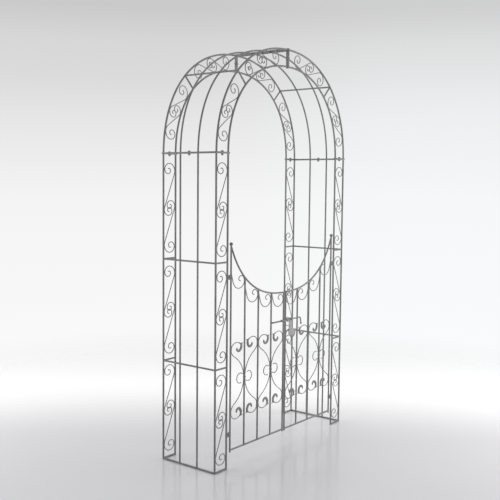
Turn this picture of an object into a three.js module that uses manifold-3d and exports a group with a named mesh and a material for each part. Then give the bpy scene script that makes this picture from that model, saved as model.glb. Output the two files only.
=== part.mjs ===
// Garden arch with a two-leaf gate: two open pillars, a scrolled arch in two halves and a latched gate.
// Millimetres, +Z up. X runs across the passage and Y through it; the gate hangs in the front face, at -Y.
// The origin is on the ground at the middle of the plan.
import * as THREE from "three";
import { mergeVertices } from "three/addons/utils/BufferGeometryUtils.js";
import Module from "manifold-3d";

const wasm = await Module();
wasm.setup();

// Overall frame
const archWidth = 1250; // between the outer posts' centre lines
const faceWidth = 96; // from an outer post to the inner post beside it
const frameDepth = 380; // from the front face to the back face
const springing = 1715; // where the arch stands on the pillars
const middleRailShares = [0.3294, 0.6618]; // heights of the pillars' cross rails above the ground rail
const archDrop = 15; // how far the centre of the arch lies below the springing
const archRise = 619; // from that centre to the outer bars' crown
const archExponent = 2.18; // 2 is an ellipse, more has fuller haunches

// Bars and strips
const postRadius = 5.5;
const rodRadius = 5;
const crossRailRadius = 5;
const wireRadius = 2.5; // the bent scroll wire
const stripWidth = 14;
const crownStripWidth = 17;
const stripThickness = 5;
const weldDepth = 1.5; // how far a scroll runs into the bar it is welded to
const seatGap = 0.3; // between two pieces that seat on each other
const rodsPerSide = 2;

// S scrolls of the pillars and the arch, in pairs: a wide curl at the outer end, a tight one at the middle
const pillarCurls = { wide: 48, tight: 37 }; // radii where the curls start
const pillarScrollRoom = 22; // from a wide curl to the cross rail beyond it
const archScroll = { wide: 46, tight: 33, rise: 124 }; // rise of the wide curl's centre over the pair's middle
const wideCurlEnd = 7; // radii where the curls end
const tightCurlEnd = 6.5;
const wideCurlTurn = 520; // degrees
const tightCurlTurn = 450;
const curlExponent = 1.3;
const curlStep = 60; // degrees from one point of a curl to the next, on average
const curlStepGrowth = 1.15; // the points thin out towards a curl's end
const eyeOffset = 13; // from the middle of a pair to the centre of its tight curl
const archPairTurnShares = [0.2681, 0.7381]; // where the arch's pairs lie on its quarter turn
const archPairShift = 9.5; // the two hands of arch panel differ by this much either way

// Bolts of the two joints
const boltRadius = 4;
const boltClearance = 0.3;
const boltHeadRadius = 7.5; // over the corners
const boltHeadHeight = 6;
const nutHeight = 6.8;
const boltOverrun = 3; // thread past the nut

// Gate
const stileRadius = 5;
const gateRodRadius = 5;
const gateRailRadius = 5;
const hingeAxisOffset = 17; // from the inner post to the hinge axis
const stileOffset = 14; // from the hinge axis to the hinge stile
const leafGap = 10; // between the two meeting stiles
const gateBottom = 99; // centre line of the bottom rail
const stileFoot = 12; // stile below that centre line
const stileTop = 1217;
const railEndDrop = 6; // of the top rail's end, below the top of the hinge stile
const railLow = 921; // centre line of the top rail where the leaves meet
const railRise = 625; // of the full curve
const railOverreach = 47; // from the hinge stile on to where the full curve would end
const railExponent = 2.45;
const rodsPerLeaf = 3;
const finialRadius = 10;
const finialNeckRadius = 4;
const finialNeckHeight = 4;

// Hooks under the top rail: points as shares of the clear width of the bay and of the hook's height
const hookHeight = 69;
const hookClearance = 3; // between a hook's curl and the rail
const hookCurlShare = 0.5; // where the curl, which keeps clear of the rail, begins across the bay
const hookPointShares = [
  [0, 1.12], [0.045, 0.85], [0.1, 0.58], [0.18, 0.33], [0.34, 0.09], [0.56, 0], [0.78, 0.07],
  [0.94, 0.28], [1, 0.52], [0.95, 0.8], [0.8, 0.98], [0.64, 0.94], [0.555, 0.78], [0.6, 0.62], [0.72, 0.59],
];

// Hearts: points as shares of the clear width beside the rod and of the lobe's height above the middle
const heartHeight = 485; // of a heart's middle above the ground
const lobeHeight = 217;
const lobePointShares = [
  [0, 0.115], [0.02, 0.17], [0.07, 0.23], [0.17, 0.335], [0.36, 0.455], [0.635, 0.57], [0.87, 0.65],
  [0.98, 0.72], [1, 0.79], [0.98, 0.87], [0.89, 0.93], [0.69, 0.975], [0.4, 0.955],
];
// The leaf at a lobe's tip is a curled stroke: its middle line, and its reach to either side of that line
const leafLineShares = [
  [0.46, 0.968], [0.21, 0.91], [0.2, 0.82], [0.3, 0.755], [0.44, 0.745], [0.55, 0.785], [0.56, 0.84],
];
const leafWidth = 12;
const leafReachShares = [
  [0.28, 0.28], [0.5, 1.1], [0.45, 0.55], [0.5, 0.5], [0.5, 0.5], [0.45, 0.45], [0.3, 0.3],
];
const leafThickness = 4;
const ringRadius = 28;
const ringOffset = 38; // from the rod to the middle of a ring
const ringStartAngle = 130; // degrees, from the side away from the rod
const ringTurn = 255; // degrees
const collarRadius = 8;
const collarHeight = 60;
const ringRootShare = 0.72; // height of a ring's root on the collar, of the ring's radius

// Hinges: an eye on the stile turns on a pin that stands on a lug of the inner post
const upperHingeDrop = 167; // from the top of the hinge stile to the top of the upper lug
const hingeHeights = { lower: 187, upper: stileTop - upperHingeDrop }; // top of each lug
const hingePinRadius = 3;
const hingeClearance = 0.3;
const knuckleRadius = 6;
const knuckleHeight = 12;
const lugRadius = 7;
const lugHeight = 10;
const webWidth = 8;
const pinOverrun = 4;

// Latch
const latchHeight = 756;
const latchForward = 13; // of the bolt's centre line, in front of the gate
const keeperRadius = 4.8;
const keeperRingRadius = 7;
const keeperRingWidth = 8;
const keeperRingOffset = 36; // from the meeting stile
const keeperReach = 8.5; // past the meeting stile's centre line, towards the bolt
const tongueRadius = 3.2;
const tongueClearance = 0.35;
const tongueReach = 7.5; // past its own meeting stile's centre line, towards the keeper
const tongueLength = 62;
const latchRodRadius = 4;
const handleOffset = 136; // from the meeting stile to the bend
const handleBend = 7;
const handleDrop = 38;
const handleLean = 8;
const handleKnobRadius = 6;
const plateThickness = 3;
const plateNeckWidth = 33;
const plateNeckOffset = 44; // from the meeting stile to the middle of the neck
const plateNeckHeight = 57;
const plateBodyWidth = 60;
const plateBodyHeight = 44;
const plateBodyShift = 11;
const plateCorner = 15;
const strapHeight = 18;
const eyeWidth = 9;
const eyeRadius = 6.5;
const padWidth = 7;
const padHeight = 8;
const padSink = 0.8; // how far a pad runs into the keeper's wall

// Facets and cuts
const barSides = 8;
const wireSides = 4;
const fineSides = 12;
const hexSides = 6;
const arcSag = 0.8; // of the arch's facets inside its true curve
const railSteps = 10;
const hookSteps = 11;
const lobeSteps = 9;
const ringSteps = 8;
const finialSteps = 5;
const cutOverrun = 2;
const mergeTolerance = 1e-4;

const halfWidth = archWidth / 2;
const halfDepth = frameDepth / 2;
const archCentre = springing - archDrop;
const crownMiddle = archRise - faceWidth / 2;
const archMiddle = halfWidth - faceWidth / 2;
const pillarLevels = [crossRailRadius, ...middleRailShares.map((share) => share * springing)];
const pillarPairLift = (pillarLevels[1] - pillarLevels[0]) / 2; // from a cross rail to the middle of its pair
const pillarScroll = { ...pillarCurls, rise: pillarPairLift - pillarCurls.wide - pillarScrollRoom };
const quarterTurn = Math.PI / 2;
const arcSteps = Math.ceil(quarterTurn * Math.sqrt(Math.max(halfWidth, archRise) / (8 * arcSag)));
const sides = { left: -1, right: 1 };
const faces = { front: -1, back: 1 };

const ironGrey = new THREE.MeshStandardMaterial({ color: 0x7c7d7b, roughness: 0.5, metalness: 0.6 });
const plateGrey = new THREE.MeshStandardMaterial({ color: 0xb2b2b4, roughness: 0.4, metalness: 0.7 });

const vec = (x, y, z) => new THREE.Vector3(x, y, z);
const degrees = (angle) => THREE.MathUtils.degToRad(angle);

// A path with one station at each point, where ExtrudeGeometry would space them evenly.
class StationPath extends THREE.Curve {
  constructor(points) {
    super();
    this.points = points;
  }
  getPointAt(share, target = new THREE.Vector3()) {
    return target.copy(this.points[Math.round(share * (this.points.length - 1))]);
  }
  getTangentAt(share, target = new THREE.Vector3()) {
    const last = this.points.length - 1;
    const here = Math.round(share * last);
    const before = this.points[Math.max(here - 1, 0)];
    const at = this.points[here];
    const after = this.points[Math.min(here + 1, last)];
    const into = at.clone().sub(before).normalize();
    return target.copy(after).sub(at).normalize().add(into).normalize();
  }
}

// Solid of a closed geometry, with its faces pointing out.
function solidOf(geometry) {
  const bare = new THREE.BufferGeometry();
  const flat = geometry.index ? geometry.toNonIndexed() : geometry;
  bare.setAttribute("position", flat.getAttribute("position"));
  const merged = mergeVertices(bare, mergeTolerance);
  const corners = merged.index.array;
  const kept = [];
  for (let i = 0; i < corners.length; i += 3) {
    const [a, b, c] = [corners[i], corners[i + 1], corners[i + 2]];
    if (a !== b && b !== c && c !== a) kept.push(a, b, c);
  }
  const triVerts = new Uint32Array(kept);
  const vertProperties = merged.attributes.position.array;
  const made = new wasm.Manifold(new wasm.Mesh({ numProp: 3, vertProperties, triVerts }));
  if (made.volume() > 0) return made;
  for (let i = 0; i < triVerts.length; i += 3) {
    [triVerts[i], triVerts[i + 1]] = [triVerts[i + 1], triVerts[i]];
  }
  return new wasm.Manifold(new wasm.Mesh({ numProp: 3, vertProperties, triVerts }));
}

// A regular section whose flats, not its corners, lie at the radius.
function section(radius, count) {
  const corner = radius / Math.cos(Math.PI / count);
  const shape = new THREE.Shape();
  for (let i = 0; i < count; i += 1) {
    const angle = ((i + 0.5) * 2 * Math.PI) / count;
    const place = [corner * Math.cos(angle), corner * Math.sin(angle)];
    if (i) shape.lineTo(...place);
    else shape.moveTo(...place);
  }
  return shape;
}

// A bar of the section that follows the points.
function bar(points, radius, count = barSides) {
  const extrudePath = new StationPath(points);
  const steps = points.length - 1;
  return solidOf(new THREE.ExtrudeGeometry(section(radius, count), { steps, extrudePath }));
}

const join = (pieces) => pieces.reduce((whole, piece) => whole.add(piece));

// A flat outline, extruded and then placed: axis "z" keeps it level, axis "y" stands it in a face.
function plate(outline, thickness, axis, middle, holes = []) {
  const shape = new THREE.Shape(outline.map(([a, b]) => new THREE.Vector2(a, b)));
  holes.forEach(([a, b, radius]) => {
    const hole = new THREE.Path();
    hole.absarc(a, b, radius, 0, 2 * Math.PI);
    shape.holes.push(hole);
  });
  const geometry = new THREE.ExtrudeGeometry(shape, {
    depth: thickness,
    bevelEnabled: false,
    curveSegments: hexSides,
  });
  geometry.translate(0, 0, -thickness / 2);
  if (axis === "y") geometry.rotateX(Math.PI / 2);
  if (axis === "x") geometry.rotateX(Math.PI / 2).rotateZ(Math.PI / 2);
  return solidOf(geometry.translate(middle.x, middle.y, middle.z));
}

const box = (width, depth, height, middle) =>
  solidOf(new THREE.BoxGeometry(width, depth, height).translate(middle.x, middle.y, middle.z));

const arch = new THREE.Group();

function addPiece(group, name, solid, material = ironGrey, place = vec(0, 0, 0), turn = 0) {
  const { vertProperties, triVerts, numProp } = solid.getMesh();
  const geometry = new THREE.BufferGeometry();
  geometry.setAttribute("position", new THREE.BufferAttribute(vertProperties, numProp));
  geometry.setIndex(new THREE.BufferAttribute(triVerts, 1));
  geometry.computeVertexNormals();
  const mesh = new THREE.Mesh(geometry, material);
  mesh.name = name;
  mesh.position.copy(place);
  mesh.rotation.y = turn;
  group.add(mesh);
}

// Points of a curl about a centre: the radius falls from its start to the curl's end.
function curl(centre, radius, endRadius, startAngle, turn) {
  const count = Math.round(turn / curlStep);
  const lead = Math.atan((curlExponent * (radius - endRadius)) / (degrees(turn) * radius));
  return Array.from({ length: count + 1 }, (_, i) => {
    const share = (i / count) ** curlStepGrowth;
    const reach = endRadius + (radius - endRadius) * (1 - share) ** curlExponent;
    const angle = startAngle - lead + degrees(turn) * share;
    return [centre[0] + reach * Math.cos(angle), centre[1] + reach * Math.sin(angle)];
  });
}

// One S scroll as [across, along] points: its straight run is the crossing tangent of its two curls.
function scroll(wideCentre, wideRadius, tightCentre, tightRadius) {
  const across = tightCentre[0] - wideCentre[0];
  const along = tightCentre[1] - wideCentre[1];
  const lean = Math.asin((wideRadius + tightRadius) / Math.hypot(across, along));
  const leave = Math.atan2(along, across) + Math.PI / 2 - lean;
  const wide = curl(wideCentre, wideRadius, wideCurlEnd, leave, wideCurlTurn);
  const tight = curl(tightCentre, tightRadius, tightCurlEnd, leave + Math.PI, tightCurlTurn);
  return [...wide.reverse(), ...tight];
}

// The two scrolls of a section, welded to the inner bar and seated on the outer one.
function scrollPair({ wide, tight, rise }) {
  const outerTouch = postRadius + seatGap + wireRadius;
  const innerTouch = faceWidth - postRadius - wireRadius + weldDepth;
  const pair = [
    scroll([innerTouch - wide, rise], wide, [outerTouch + tight, -eyeOffset], tight),
    scroll([outerTouch + wide, -rise], wide, [innerTouch - tight, eyeOffset], tight),
  ];
  return pair.map((points) => {
    const across = points.map(([u]) => u);
    const least = Math.min(...across);
    const stretch = (innerTouch - outerTouch) / (Math.max(...across) - least);
    return points.map(([u, v]) => [outerTouch + (u - least) * stretch, v]);
  });
}

// Level U of flat strip, open towards the passage, with the holes for its three bolts.
function levelStrip(inward, middleHeight) {
  const half = stripWidth / 2;
  const end = inward * (faceWidth + half);
  const near = -inward * half;
  const outline = [
    [near, -halfDepth - half], [end, -halfDepth - half], [end, -halfDepth + half],
    [-near, -halfDepth + half], [-near, halfDepth - half], [end, halfDepth - half],
    [end, halfDepth + half], [near, halfDepth + half],
  ];
  const hole = boltRadius + boltClearance;
  const holes = boltPlaces(inward).map(([x, y]) => [x, y, hole]);
  return plate(outline, stripThickness, "z", vec(0, 0, middleHeight), holes);
}

const boltPlaces = (inward) => [
  [(inward * faceWidth) / 2, -halfDepth], [(inward * faceWidth) / 2, halfDepth], [0, 0],
];

const sideRods = Array.from(
  { length: rodsPerSide },
  (_, i) => -halfDepth + (frameDepth * (i + 1)) / (rodsPerSide + 1),
);

function makePillar(name, side) {
  const inward = -side;
  const pillar = new THREE.Group();
  pillar.position.x = side * halfWidth;
  arch.add(pillar);
  const postTop = springing - stripThickness - seatGap;

  const upright = (x, y, radius, low = 0) => bar([vec(x, y, low), vec(x, y, postTop)], radius);
  const crossRail = (z, radius) => bar([vec(0, -halfDepth, z), vec(0, halfDepth, z)], radius);
  const sidePanel = join([
    ...Object.values(faces).map((face) => upright(0, face * halfDepth, postRadius)),
    ...pillarLevels.map((z) => crossRail(z, crossRailRadius)),
    ...sideRods.map((y) => upright(0, y, rodRadius, crossRailRadius)),
  ]);
  addPiece(pillar, `${name}_side_panel`, sidePanel);

  for (const [faceName, face] of Object.entries(faces)) {
    const y = face * halfDepth;
    const inner = upright(inward * faceWidth, y, postRadius);
    const post = bar([vec(0, y, -cutOverrun), vec(0, y, springing)], postRadius + seatGap);
    const rails = pillarLevels.map((z) => {
      const whole = bar([vec(0, y, z), vec(inward * faceWidth, y, z)], crossRailRadius);
      return whole.subtract(post.add(crossRail(z, crossRailRadius + seatGap)));
    });
    const scrolls = pillarLevels.flatMap((z) =>
      scrollPair(pillarScroll).map((points) =>
        bar(
          points.map(([u, v]) => vec(inward * u, y, z + pillarPairLift + v)),
          wireRadius,
          wireSides,
        ),
      ),
    );
    addPiece(pillar, `${name}_${faceName}_scroll_panel`, join([inner, ...rails, ...scrolls]));
  }
  addPiece(pillar, `${name}_top_strip`, levelStrip(inward, springing - stripThickness / 2));
  addSpringingBolts(pillar, name, inward);
}

const hexHead = (height, low) =>
  bar([vec(0, 0, low), vec(0, 0, low + height)], boltHeadRadius * Math.cos(Math.PI / hexSides), hexSides);

// A bolt through two strips, its head above them, and the nut below; both stand on the z axis.
function boltAndNut() {
  const grip = 2 * stripThickness;
  const low = -grip / 2 - nutHeight - boltOverrun;
  const shank = bar([vec(0, 0, low), vec(0, 0, grip / 2 + boltHeadHeight / 2)], boltRadius, fineSides);
  const bolt = shank.add(hexHead(boltHeadHeight, grip / 2 + seatGap));
  const nutLow = -grip / 2 - seatGap - nutHeight;
  const bore = boltRadius + boltClearance;
  const cut = bar([vec(0, 0, nutLow - cutOverrun), vec(0, 0, -grip / 2 + cutOverrun)], bore, fineSides);
  return { bolt, nut: hexHead(nutHeight, nutLow).subtract(cut) };
}

function addSpringingBolts(group, name, inward) {
  const { bolt, nut } = boltAndNut();
  const places = boltPlaces(inward);
  ["front", "back", "side"].forEach((where, i) => {
    const place = vec(places[i][0], places[i][1], springing);
    addPiece(group, `${name}_${where}_springing_bolt`, bolt, plateGrey, place);
    addPiece(group, `${name}_${where}_springing_nut`, nut, plateGrey, place);
  });
}

// The arch's joint at the crown: strips face to face across x = 0.
function addCrownBolts() {
  const { bolt, nut } = boltAndNut();
  const places = { front: [-halfDepth, crownMiddle], back: [halfDepth, crownMiddle], top: [0, archRise] };
  for (const [where, [y, rise]] of Object.entries(places)) {
    const place = vec(0, y, archCentre + rise);
    addPiece(arch, `crown_${where}_bolt`, bolt, plateGrey, place, -Math.PI / 2);
    addPiece(arch, `crown_${where}_nut`, nut, plateGrey, place, -Math.PI / 2);
  }
}

// A point of the arch, so far inside its outer line; the angle about the centre rises from the springing.
function archPoint(side, inset, angle, y) {
  const across = (Math.cos(angle) / halfWidth) ** archExponent;
  const up = (Math.sin(angle) / archRise) ** archExponent;
  const radius = (across + up) ** (-1 / archExponent) - inset;
  return vec(side * radius * Math.cos(angle), y, radius * Math.sin(angle));
}

// What the foot strip and the crown strip take up, cut from every bar that ends on them.
const stripBed = stripThickness + seatGap;
const footBed = box(2 * archWidth, 2 * frameDepth, 2 * stripBed, vec(0, 0, archDrop));
const crownBed = box(2 * stripBed, 2 * frameDepth, 2 * archWidth, vec(0, 0, 0));

// A bar along the arch from its foot strip to its crown strip.
function archBar(side, barRadius, inset, y) {
  const foot = Math.asin(archDrop / (halfWidth - inset));
  const points = Array.from({ length: arcSteps + 1 }, (_, i) =>
    archPoint(side, inset, foot + ((quarterTurn - foot) * i) / arcSteps, y),
  );
  return bar(points, barRadius).subtract(footBed).subtract(crownBed);
}

function makeArchHalf(name, side) {
  const half = new THREE.Group();
  half.position.z = archCentre;
  arch.add(half);
  const inward = -side;
  const haunch = Math.PI / 4;

  const haunchRail = (radius) =>
    bar(
      [archPoint(side, 0, haunch, -halfDepth), archPoint(side, 0, haunch, halfDepth)],
      radius,
    );
  const roof = join([
    ...Object.values(faces).map((face) => archBar(side, postRadius, 0, face * halfDepth)),
    ...sideRods.map((y) => archBar(side, rodRadius, 0, y)),
    haunchRail(crossRailRadius),
  ]);
  addPiece(half, `${name}_roof_panel`, roof);

  for (const [faceName, face] of Object.entries(faces)) {
    const y = face * halfDepth;
    const inner = archBar(side, postRadius, faceWidth, y);
    const outer = archBar(side, postRadius + seatGap, 0, y);
    const tool = outer.add(haunchRail(crossRailRadius + seatGap));
    const strut = bar(
      [archPoint(side, faceWidth, haunch, y), archPoint(side, 0, haunch, y)],
      crossRailRadius,
    );
    const scrolls = archPairTurnShares.flatMap((turnShare) =>
      scrollPair(archScroll).map((points) => {
        const angleAt = (v) => turnShare * quarterTurn + (v - archPairShift * side * face) / archMiddle;
        return bar(points.map(([u, v]) => archPoint(side, u, angleAt(v), y)), wireRadius, wireSides);
      }),
    );
    const panel = join([strut, ...scrolls]).subtract(tool).add(inner);
    addPiece(half, `${name}_arch_${faceName}_scroll_panel`, panel);
  }

  const foot = levelStrip(inward, archDrop + stripThickness / 2);
  addPiece(half, `${name}_arch_foot_strip`, foot, ironGrey, vec(side * halfWidth, 0, 0));
  addPiece(half, `${name}_arch_crown_strip`, crownStrip(side));
}

// Upright U of flat strip at the crown: a leg down each face and a bar along the top.
function crownStrip(side) {
  const half = crownStripWidth / 2;
  const low = archRise - faceWidth - half;
  const top = archRise + half;
  const outline = [
    [-halfDepth - half, low], [-halfDepth + half, low], [-halfDepth + half, top - crownStripWidth],
    [halfDepth - half, top - crownStripWidth], [halfDepth - half, low], [halfDepth + half, low],
    [halfDepth + half, top], [-halfDepth - half, top],
  ];
  const hole = boltRadius + boltClearance;
  const holes = [
    [-halfDepth, crownMiddle, hole], [halfDepth, crownMiddle, hole], [0, archRise, hole],
  ];
  return plate(outline, stripThickness, "x", vec((side * stripThickness) / 2, 0, 0), holes);
}

const hingeAxis = halfWidth - faceWidth - hingeAxisOffset;
const meetingStile = leafGap / 2 + stileRadius;
const hingeStile = hingeAxis - stileOffset;
const bay = (hingeStile - meetingStile) / (rodsPerLeaf + 1);
const gateRods = Array.from({ length: rodsPerLeaf }, (_, i) => hingeStile - bay * (i + 1));
const stileLow = gateBottom - stileFoot;
const railHalfSpan = hingeStile + railOverreach;

// The top rail follows a flattened quarter ellipse that rises from the middle of the gate.
const railCurveAt = (x) => {
  const share = Math.min(Math.abs(x) / railHalfSpan, 1);
  return railLow + railRise * (1 - (1 - share ** railExponent) ** (1 / railExponent));
};
// It levels off below the stile's top, or where it meets the stile if that is lower.
const railEndHeight = Math.min(stileTop - railEndDrop - gateRailRadius, railCurveAt(hingeStile - stileRadius));
const railHeightAt = (x) => Math.min(railCurveAt(x), railEndHeight);

// Its centre line as [distance from the middle, height], from the meeting stile's edge to the hinge stile.
function railLine(overrun) {
  const power = 2 / railExponent;
  const start = Math.asin(((meetingStile - stileRadius) / railHalfSpan) ** (1 / power));
  const end = Math.acos(((railLow + railRise - railEndHeight) / railRise) ** (1 / power));
  const line = Array.from({ length: railSteps + 1 }, (_, i) => {
    const angle = start + ((end - start) * i) / railSteps;
    const x = railHalfSpan * Math.sin(angle) ** power;
    return [x, railLow + railRise * (1 - Math.cos(angle) ** power)];
  });
  line[0][0] -= overrun;
  return [...line, [hingeStile, railEndHeight + gateRailRadius]];
}

// Points on a smooth curve through a list of places.
const smooth = (points, steps) =>
  new THREE.CatmullRomCurve3(points, false, "centripetal").getSpacedPoints(steps);

// The eye of a hinge stile, about the hinge axis, with its web to the stile.
function knuckle(inward, height) {
  const low = height + seatGap;
  const middle = low + knuckleHeight / 2;
  const eye = bar([vec(0, 0, low), vec(0, 0, low + knuckleHeight)], knuckleRadius, fineSides);
  const web = box(stileOffset, webWidth, knuckleHeight, vec((inward * stileOffset) / 2, 0, middle));
  const bore = bar(
    [vec(0, 0, low - cutOverrun), vec(0, 0, low + knuckleHeight + cutOverrun)],
    hingePinRadius + hingeClearance,
    fineSides,
  );
  return eye.add(web).subtract(bore);
}

// The lug and pin that carry it, seated on the inner post.
function addHingeBracket(name, side, where) {
  const height = hingeHeights[where];
  const outward = side;
  const low = height - lugHeight;
  const lug = bar([vec(0, 0, low), vec(0, 0, height)], lugRadius, fineSides);
  const webPlace = vec((outward * hingeAxisOffset) / 2, 0, height - lugHeight / 2);
  const web = box(hingeAxisOffset, webWidth, lugHeight, webPlace);
  const post = bar(
    [vec(outward * hingeAxisOffset, 0, low - cutOverrun), vec(outward * hingeAxisOffset, 0, height + cutOverrun)],
    postRadius + seatGap,
  );
  const pinTop = height + knuckleHeight + pinOverrun;
  const pin = bar([vec(0, 0, low), vec(0, 0, pinTop)], hingePinRadius, fineSides);
  const bracket = join([lug, web.subtract(post), pin]);
  const place = vec(side * hingeAxis, -halfDepth, 0);
  addPiece(arch, `${name}_${where}_hinge_bracket`, bracket, ironGrey, place);
}

// Ball on a neck, standing on the origin.
function finial() {
  const lift = finialNeckHeight + Math.sqrt(finialRadius ** 2 - finialNeckRadius ** 2);
  const from = -Math.acos(finialNeckRadius / finialRadius);
  const ball = Array.from({ length: finialSteps + 1 }, (_, i) => {
    const angle = from + ((Math.PI / 2 - from) * i) / finialSteps;
    return new THREE.Vector2(finialRadius * Math.cos(angle), lift + finialRadius * Math.sin(angle));
  });
  ball[finialSteps].x = 0;
  const profile = [new THREE.Vector2(0, 0), new THREE.Vector2(finialNeckRadius, 0), ...ball];
  return solidOf(new THREE.LatheGeometry(profile, fineSides).rotateX(Math.PI / 2));
}

// A hook between two members of a leaf, from the outer one round to its curl at the inner one.
function hook(at, outer, inner, outerReach, innerReach) {
  const from = outer - outerReach;
  const to = inner + innerReach;
  const across = (u) => from + (to - from) * u;
  const curlPoints = hookPointShares.filter(([u]) => u >= hookCurlShare);
  const room = Math.min(...curlPoints.map(([u, v]) => railHeightAt(across(u)) - v * hookHeight));
  const low = room - gateRailRadius - wireRadius - hookClearance;
  const places = hookPointShares.map(([u, v]) => at(across(u), low + v * hookHeight));
  return bar(smooth(places, hookSteps), wireRadius, wireSides);
}

// The outline of a leaf about its middle line.
function stroke(line) {
  const edge = (way) =>
    line.map(([x, z], i) => {
      const before = line[Math.max(i - 1, 0)];
      const after = line[Math.min(i + 1, line.length - 1)];
      const run = Math.hypot(after[0] - before[0], after[1] - before[1]);
      const reach = (way * leafWidth * leafReachShares[i][way > 0 ? 1 : 0]) / run;
      return [x + (after[1] - before[1]) * reach, z - (after[0] - before[0]) * reach];
    });
  return [...edge(1), ...edge(-1).reverse()];
}

// Four leaf-tipped lobes and two rings about a collar on a rod; reaches are the clear widths beside it.
function heart(inward, outerReach, innerReach) {
  const start = gateRodRadius + wireRadius + seatGap;
  const place = (way, u, v) => [way * u * inward, v];
  const lobes = [[-1, outerReach], [1, innerReach]].flatMap(([way, reach]) =>
    [-1, 1].flatMap((rise) => {
      const size = ([u, v]) => [start + (reach - start) * u, v * lobeHeight];
      const turned = ([u, v]) => place(way, u, rise * v);
      const line = lobePointShares.map(size).map((point) => vec(...flat(turned(point))));
      const wire = bar(smooth(line, lobeSteps), wireRadius, wireSides);
      const outline = stroke(leafLineShares.map(size)).map(turned);
      const leaf = plate(outline, leafThickness, "y", vec(0, 0, 0));
      return [wire, leaf];
    }),
  );
  const rings = [-1, 1].map((way) => {
    const root = vec(...flat(place(way, collarRadius - weldDepth, -way * ringRadius * ringRootShare)));
    const arc = Array.from({ length: ringSteps + 1 }, (_, i) => {
      const angle = degrees(ringStartAngle - (ringTurn * i) / ringSteps);
      const u = ringOffset + ringRadius * Math.cos(angle);
      return vec(...flat(place(way, u, -way * ringRadius * Math.sin(angle))));
    });
    return bar([root, ...arc], wireRadius, wireSides);
  });
  const half = collarHeight / 2;
  const sleeve = bar([vec(0, 0, -half), vec(0, 0, half)], collarRadius);
  const bore = bar(
    [vec(0, 0, -half - lobeHeight), vec(0, 0, half + lobeHeight)],
    gateRodRadius + seatGap,
  );
  return join([sleeve, ...lobes, ...rings]).subtract(bore);
}
const flat = ([x, z]) => [x, 0, z];

function makeLeaf(name, side) {
  const leaf = new THREE.Group();
  leaf.position.set(side * hingeAxis, -halfDepth, 0);
  arch.add(leaf);
  const inward = -side;
  // Places of a leaf are given by their distance from the middle of the gate.
  const at = (x, z, y = 0) => vec(side * (x - hingeAxis), y, z);
  const upright = (x, low, high, radius) => bar([at(x, low), at(x, high)], radius);
  const along = (line, radius) => bar(line.map(([x, z]) => at(x, z)), radius);

  const clearRadius = stileRadius + seatGap;
  const tools = join([
    upright(hingeStile, stileLow - cutOverrun, stileTop + cutOverrun, clearRadius),
    upright(meetingStile, stileLow - cutOverrun, railLow - gateRailRadius, clearRadius),
  ]);
  const railTool = along(railLine(cutOverrun), gateRailRadius + seatGap);
  addPiece(leaf, `${name}_gate_top_rail`, along(railLine(0), gateRailRadius).subtract(tools));

  const eyes = Object.values(hingeHeights).map((height) => knuckle(inward, height));
  const stile = join([upright(hingeStile, stileLow, stileTop, stileRadius), ...eyes]);
  addPiece(leaf, `${name}_gate_hinge_stile`, stile);
  addPiece(leaf, `${name}_gate_finial`, finial(), ironGrey, at(hingeStile, stileTop + seatGap));
  const meeting = upright(meetingStile, stileLow, railHeightAt(meetingStile), stileRadius);
  addPiece(leaf, `${name}_gate_meeting_stile`, meeting.subtract(railTool));

  const bottomRail = along([[hingeStile, gateBottom], [meetingStile, gateBottom]], gateRailRadius);
  const rods = gateRods.map((x) => upright(x, gateBottom, railHeightAt(x), gateRodRadius));
  const stileReach = clearRadius + wireRadius;
  const rodReach = gateRodRadius + wireRadius - weldDepth;
  const members = [hingeStile, ...gateRods, meetingStile];
  const reaches = [stileReach, ...gateRods.map(() => rodReach), stileReach];
  const hooks = members.slice(1).map((inner, i) =>
    hook(at, members[i], inner, reaches[i], reaches[i + 1]),
  );
  const infill = join([bottomRail, ...rods, ...hooks]).subtract(tools).subtract(railTool);
  addPiece(leaf, `${name}_gate_rods`, infill);

  const stileSide = bay - stileReach;
  const rodSide = bay - gateRodRadius - seatGap - wireRadius;
  const outerHeart = heart(inward, stileSide, rodSide);
  const innerHeart = heart(inward, rodSide, stileSide);
  addPiece(leaf, `${name}_gate_outer_heart`, outerHeart, ironGrey, at(gateRods[0], heartHeight));
  addPiece(leaf, `${name}_gate_inner_heart`, innerHeart, ironGrey, at(gateRods[rodsPerLeaf - 1], heartHeight));
  Object.keys(hingeHeights).forEach((where) => addHingeBracket(name, side, where));
  return { leaf, at };
}

// Tube on the left leaf that takes the bolt's tongue, on pads against the stile and the rod beside it.
function addKeeper({ leaf, at }) {
  const lastRod = gateRods[rodsPerLeaf - 1];
  const line = (from, to, radius, count = barSides) =>
    bar([at(from, latchHeight, -latchForward), at(to, latchHeight, -latchForward)], radius, count);
  const end = meetingStile - keeperReach;
  const ringFrom = meetingStile + keeperRingOffset - keeperRingWidth / 2;
  const pad = (x, radius) => {
    const back = -radius - seatGap;
    const front = -latchForward + keeperRadius - padSink;
    return box(padWidth, back - front, padHeight, at(x, latchHeight, (back + front) / 2));
  };
  const body = join([
    line(end, lastRod, keeperRadius, fineSides),
    line(ringFrom, ringFrom + keeperRingWidth, keeperRingRadius, fineSides),
    pad(meetingStile, stileRadius),
    pad(lastRod, gateRodRadius),
  ]);
  const bore = line(end - cutOverrun, lastRod + cutOverrun, tongueRadius + tongueClearance, fineSides);
  addPiece(leaf, "gate_latch_keeper", body.subtract(bore));
}

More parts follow.
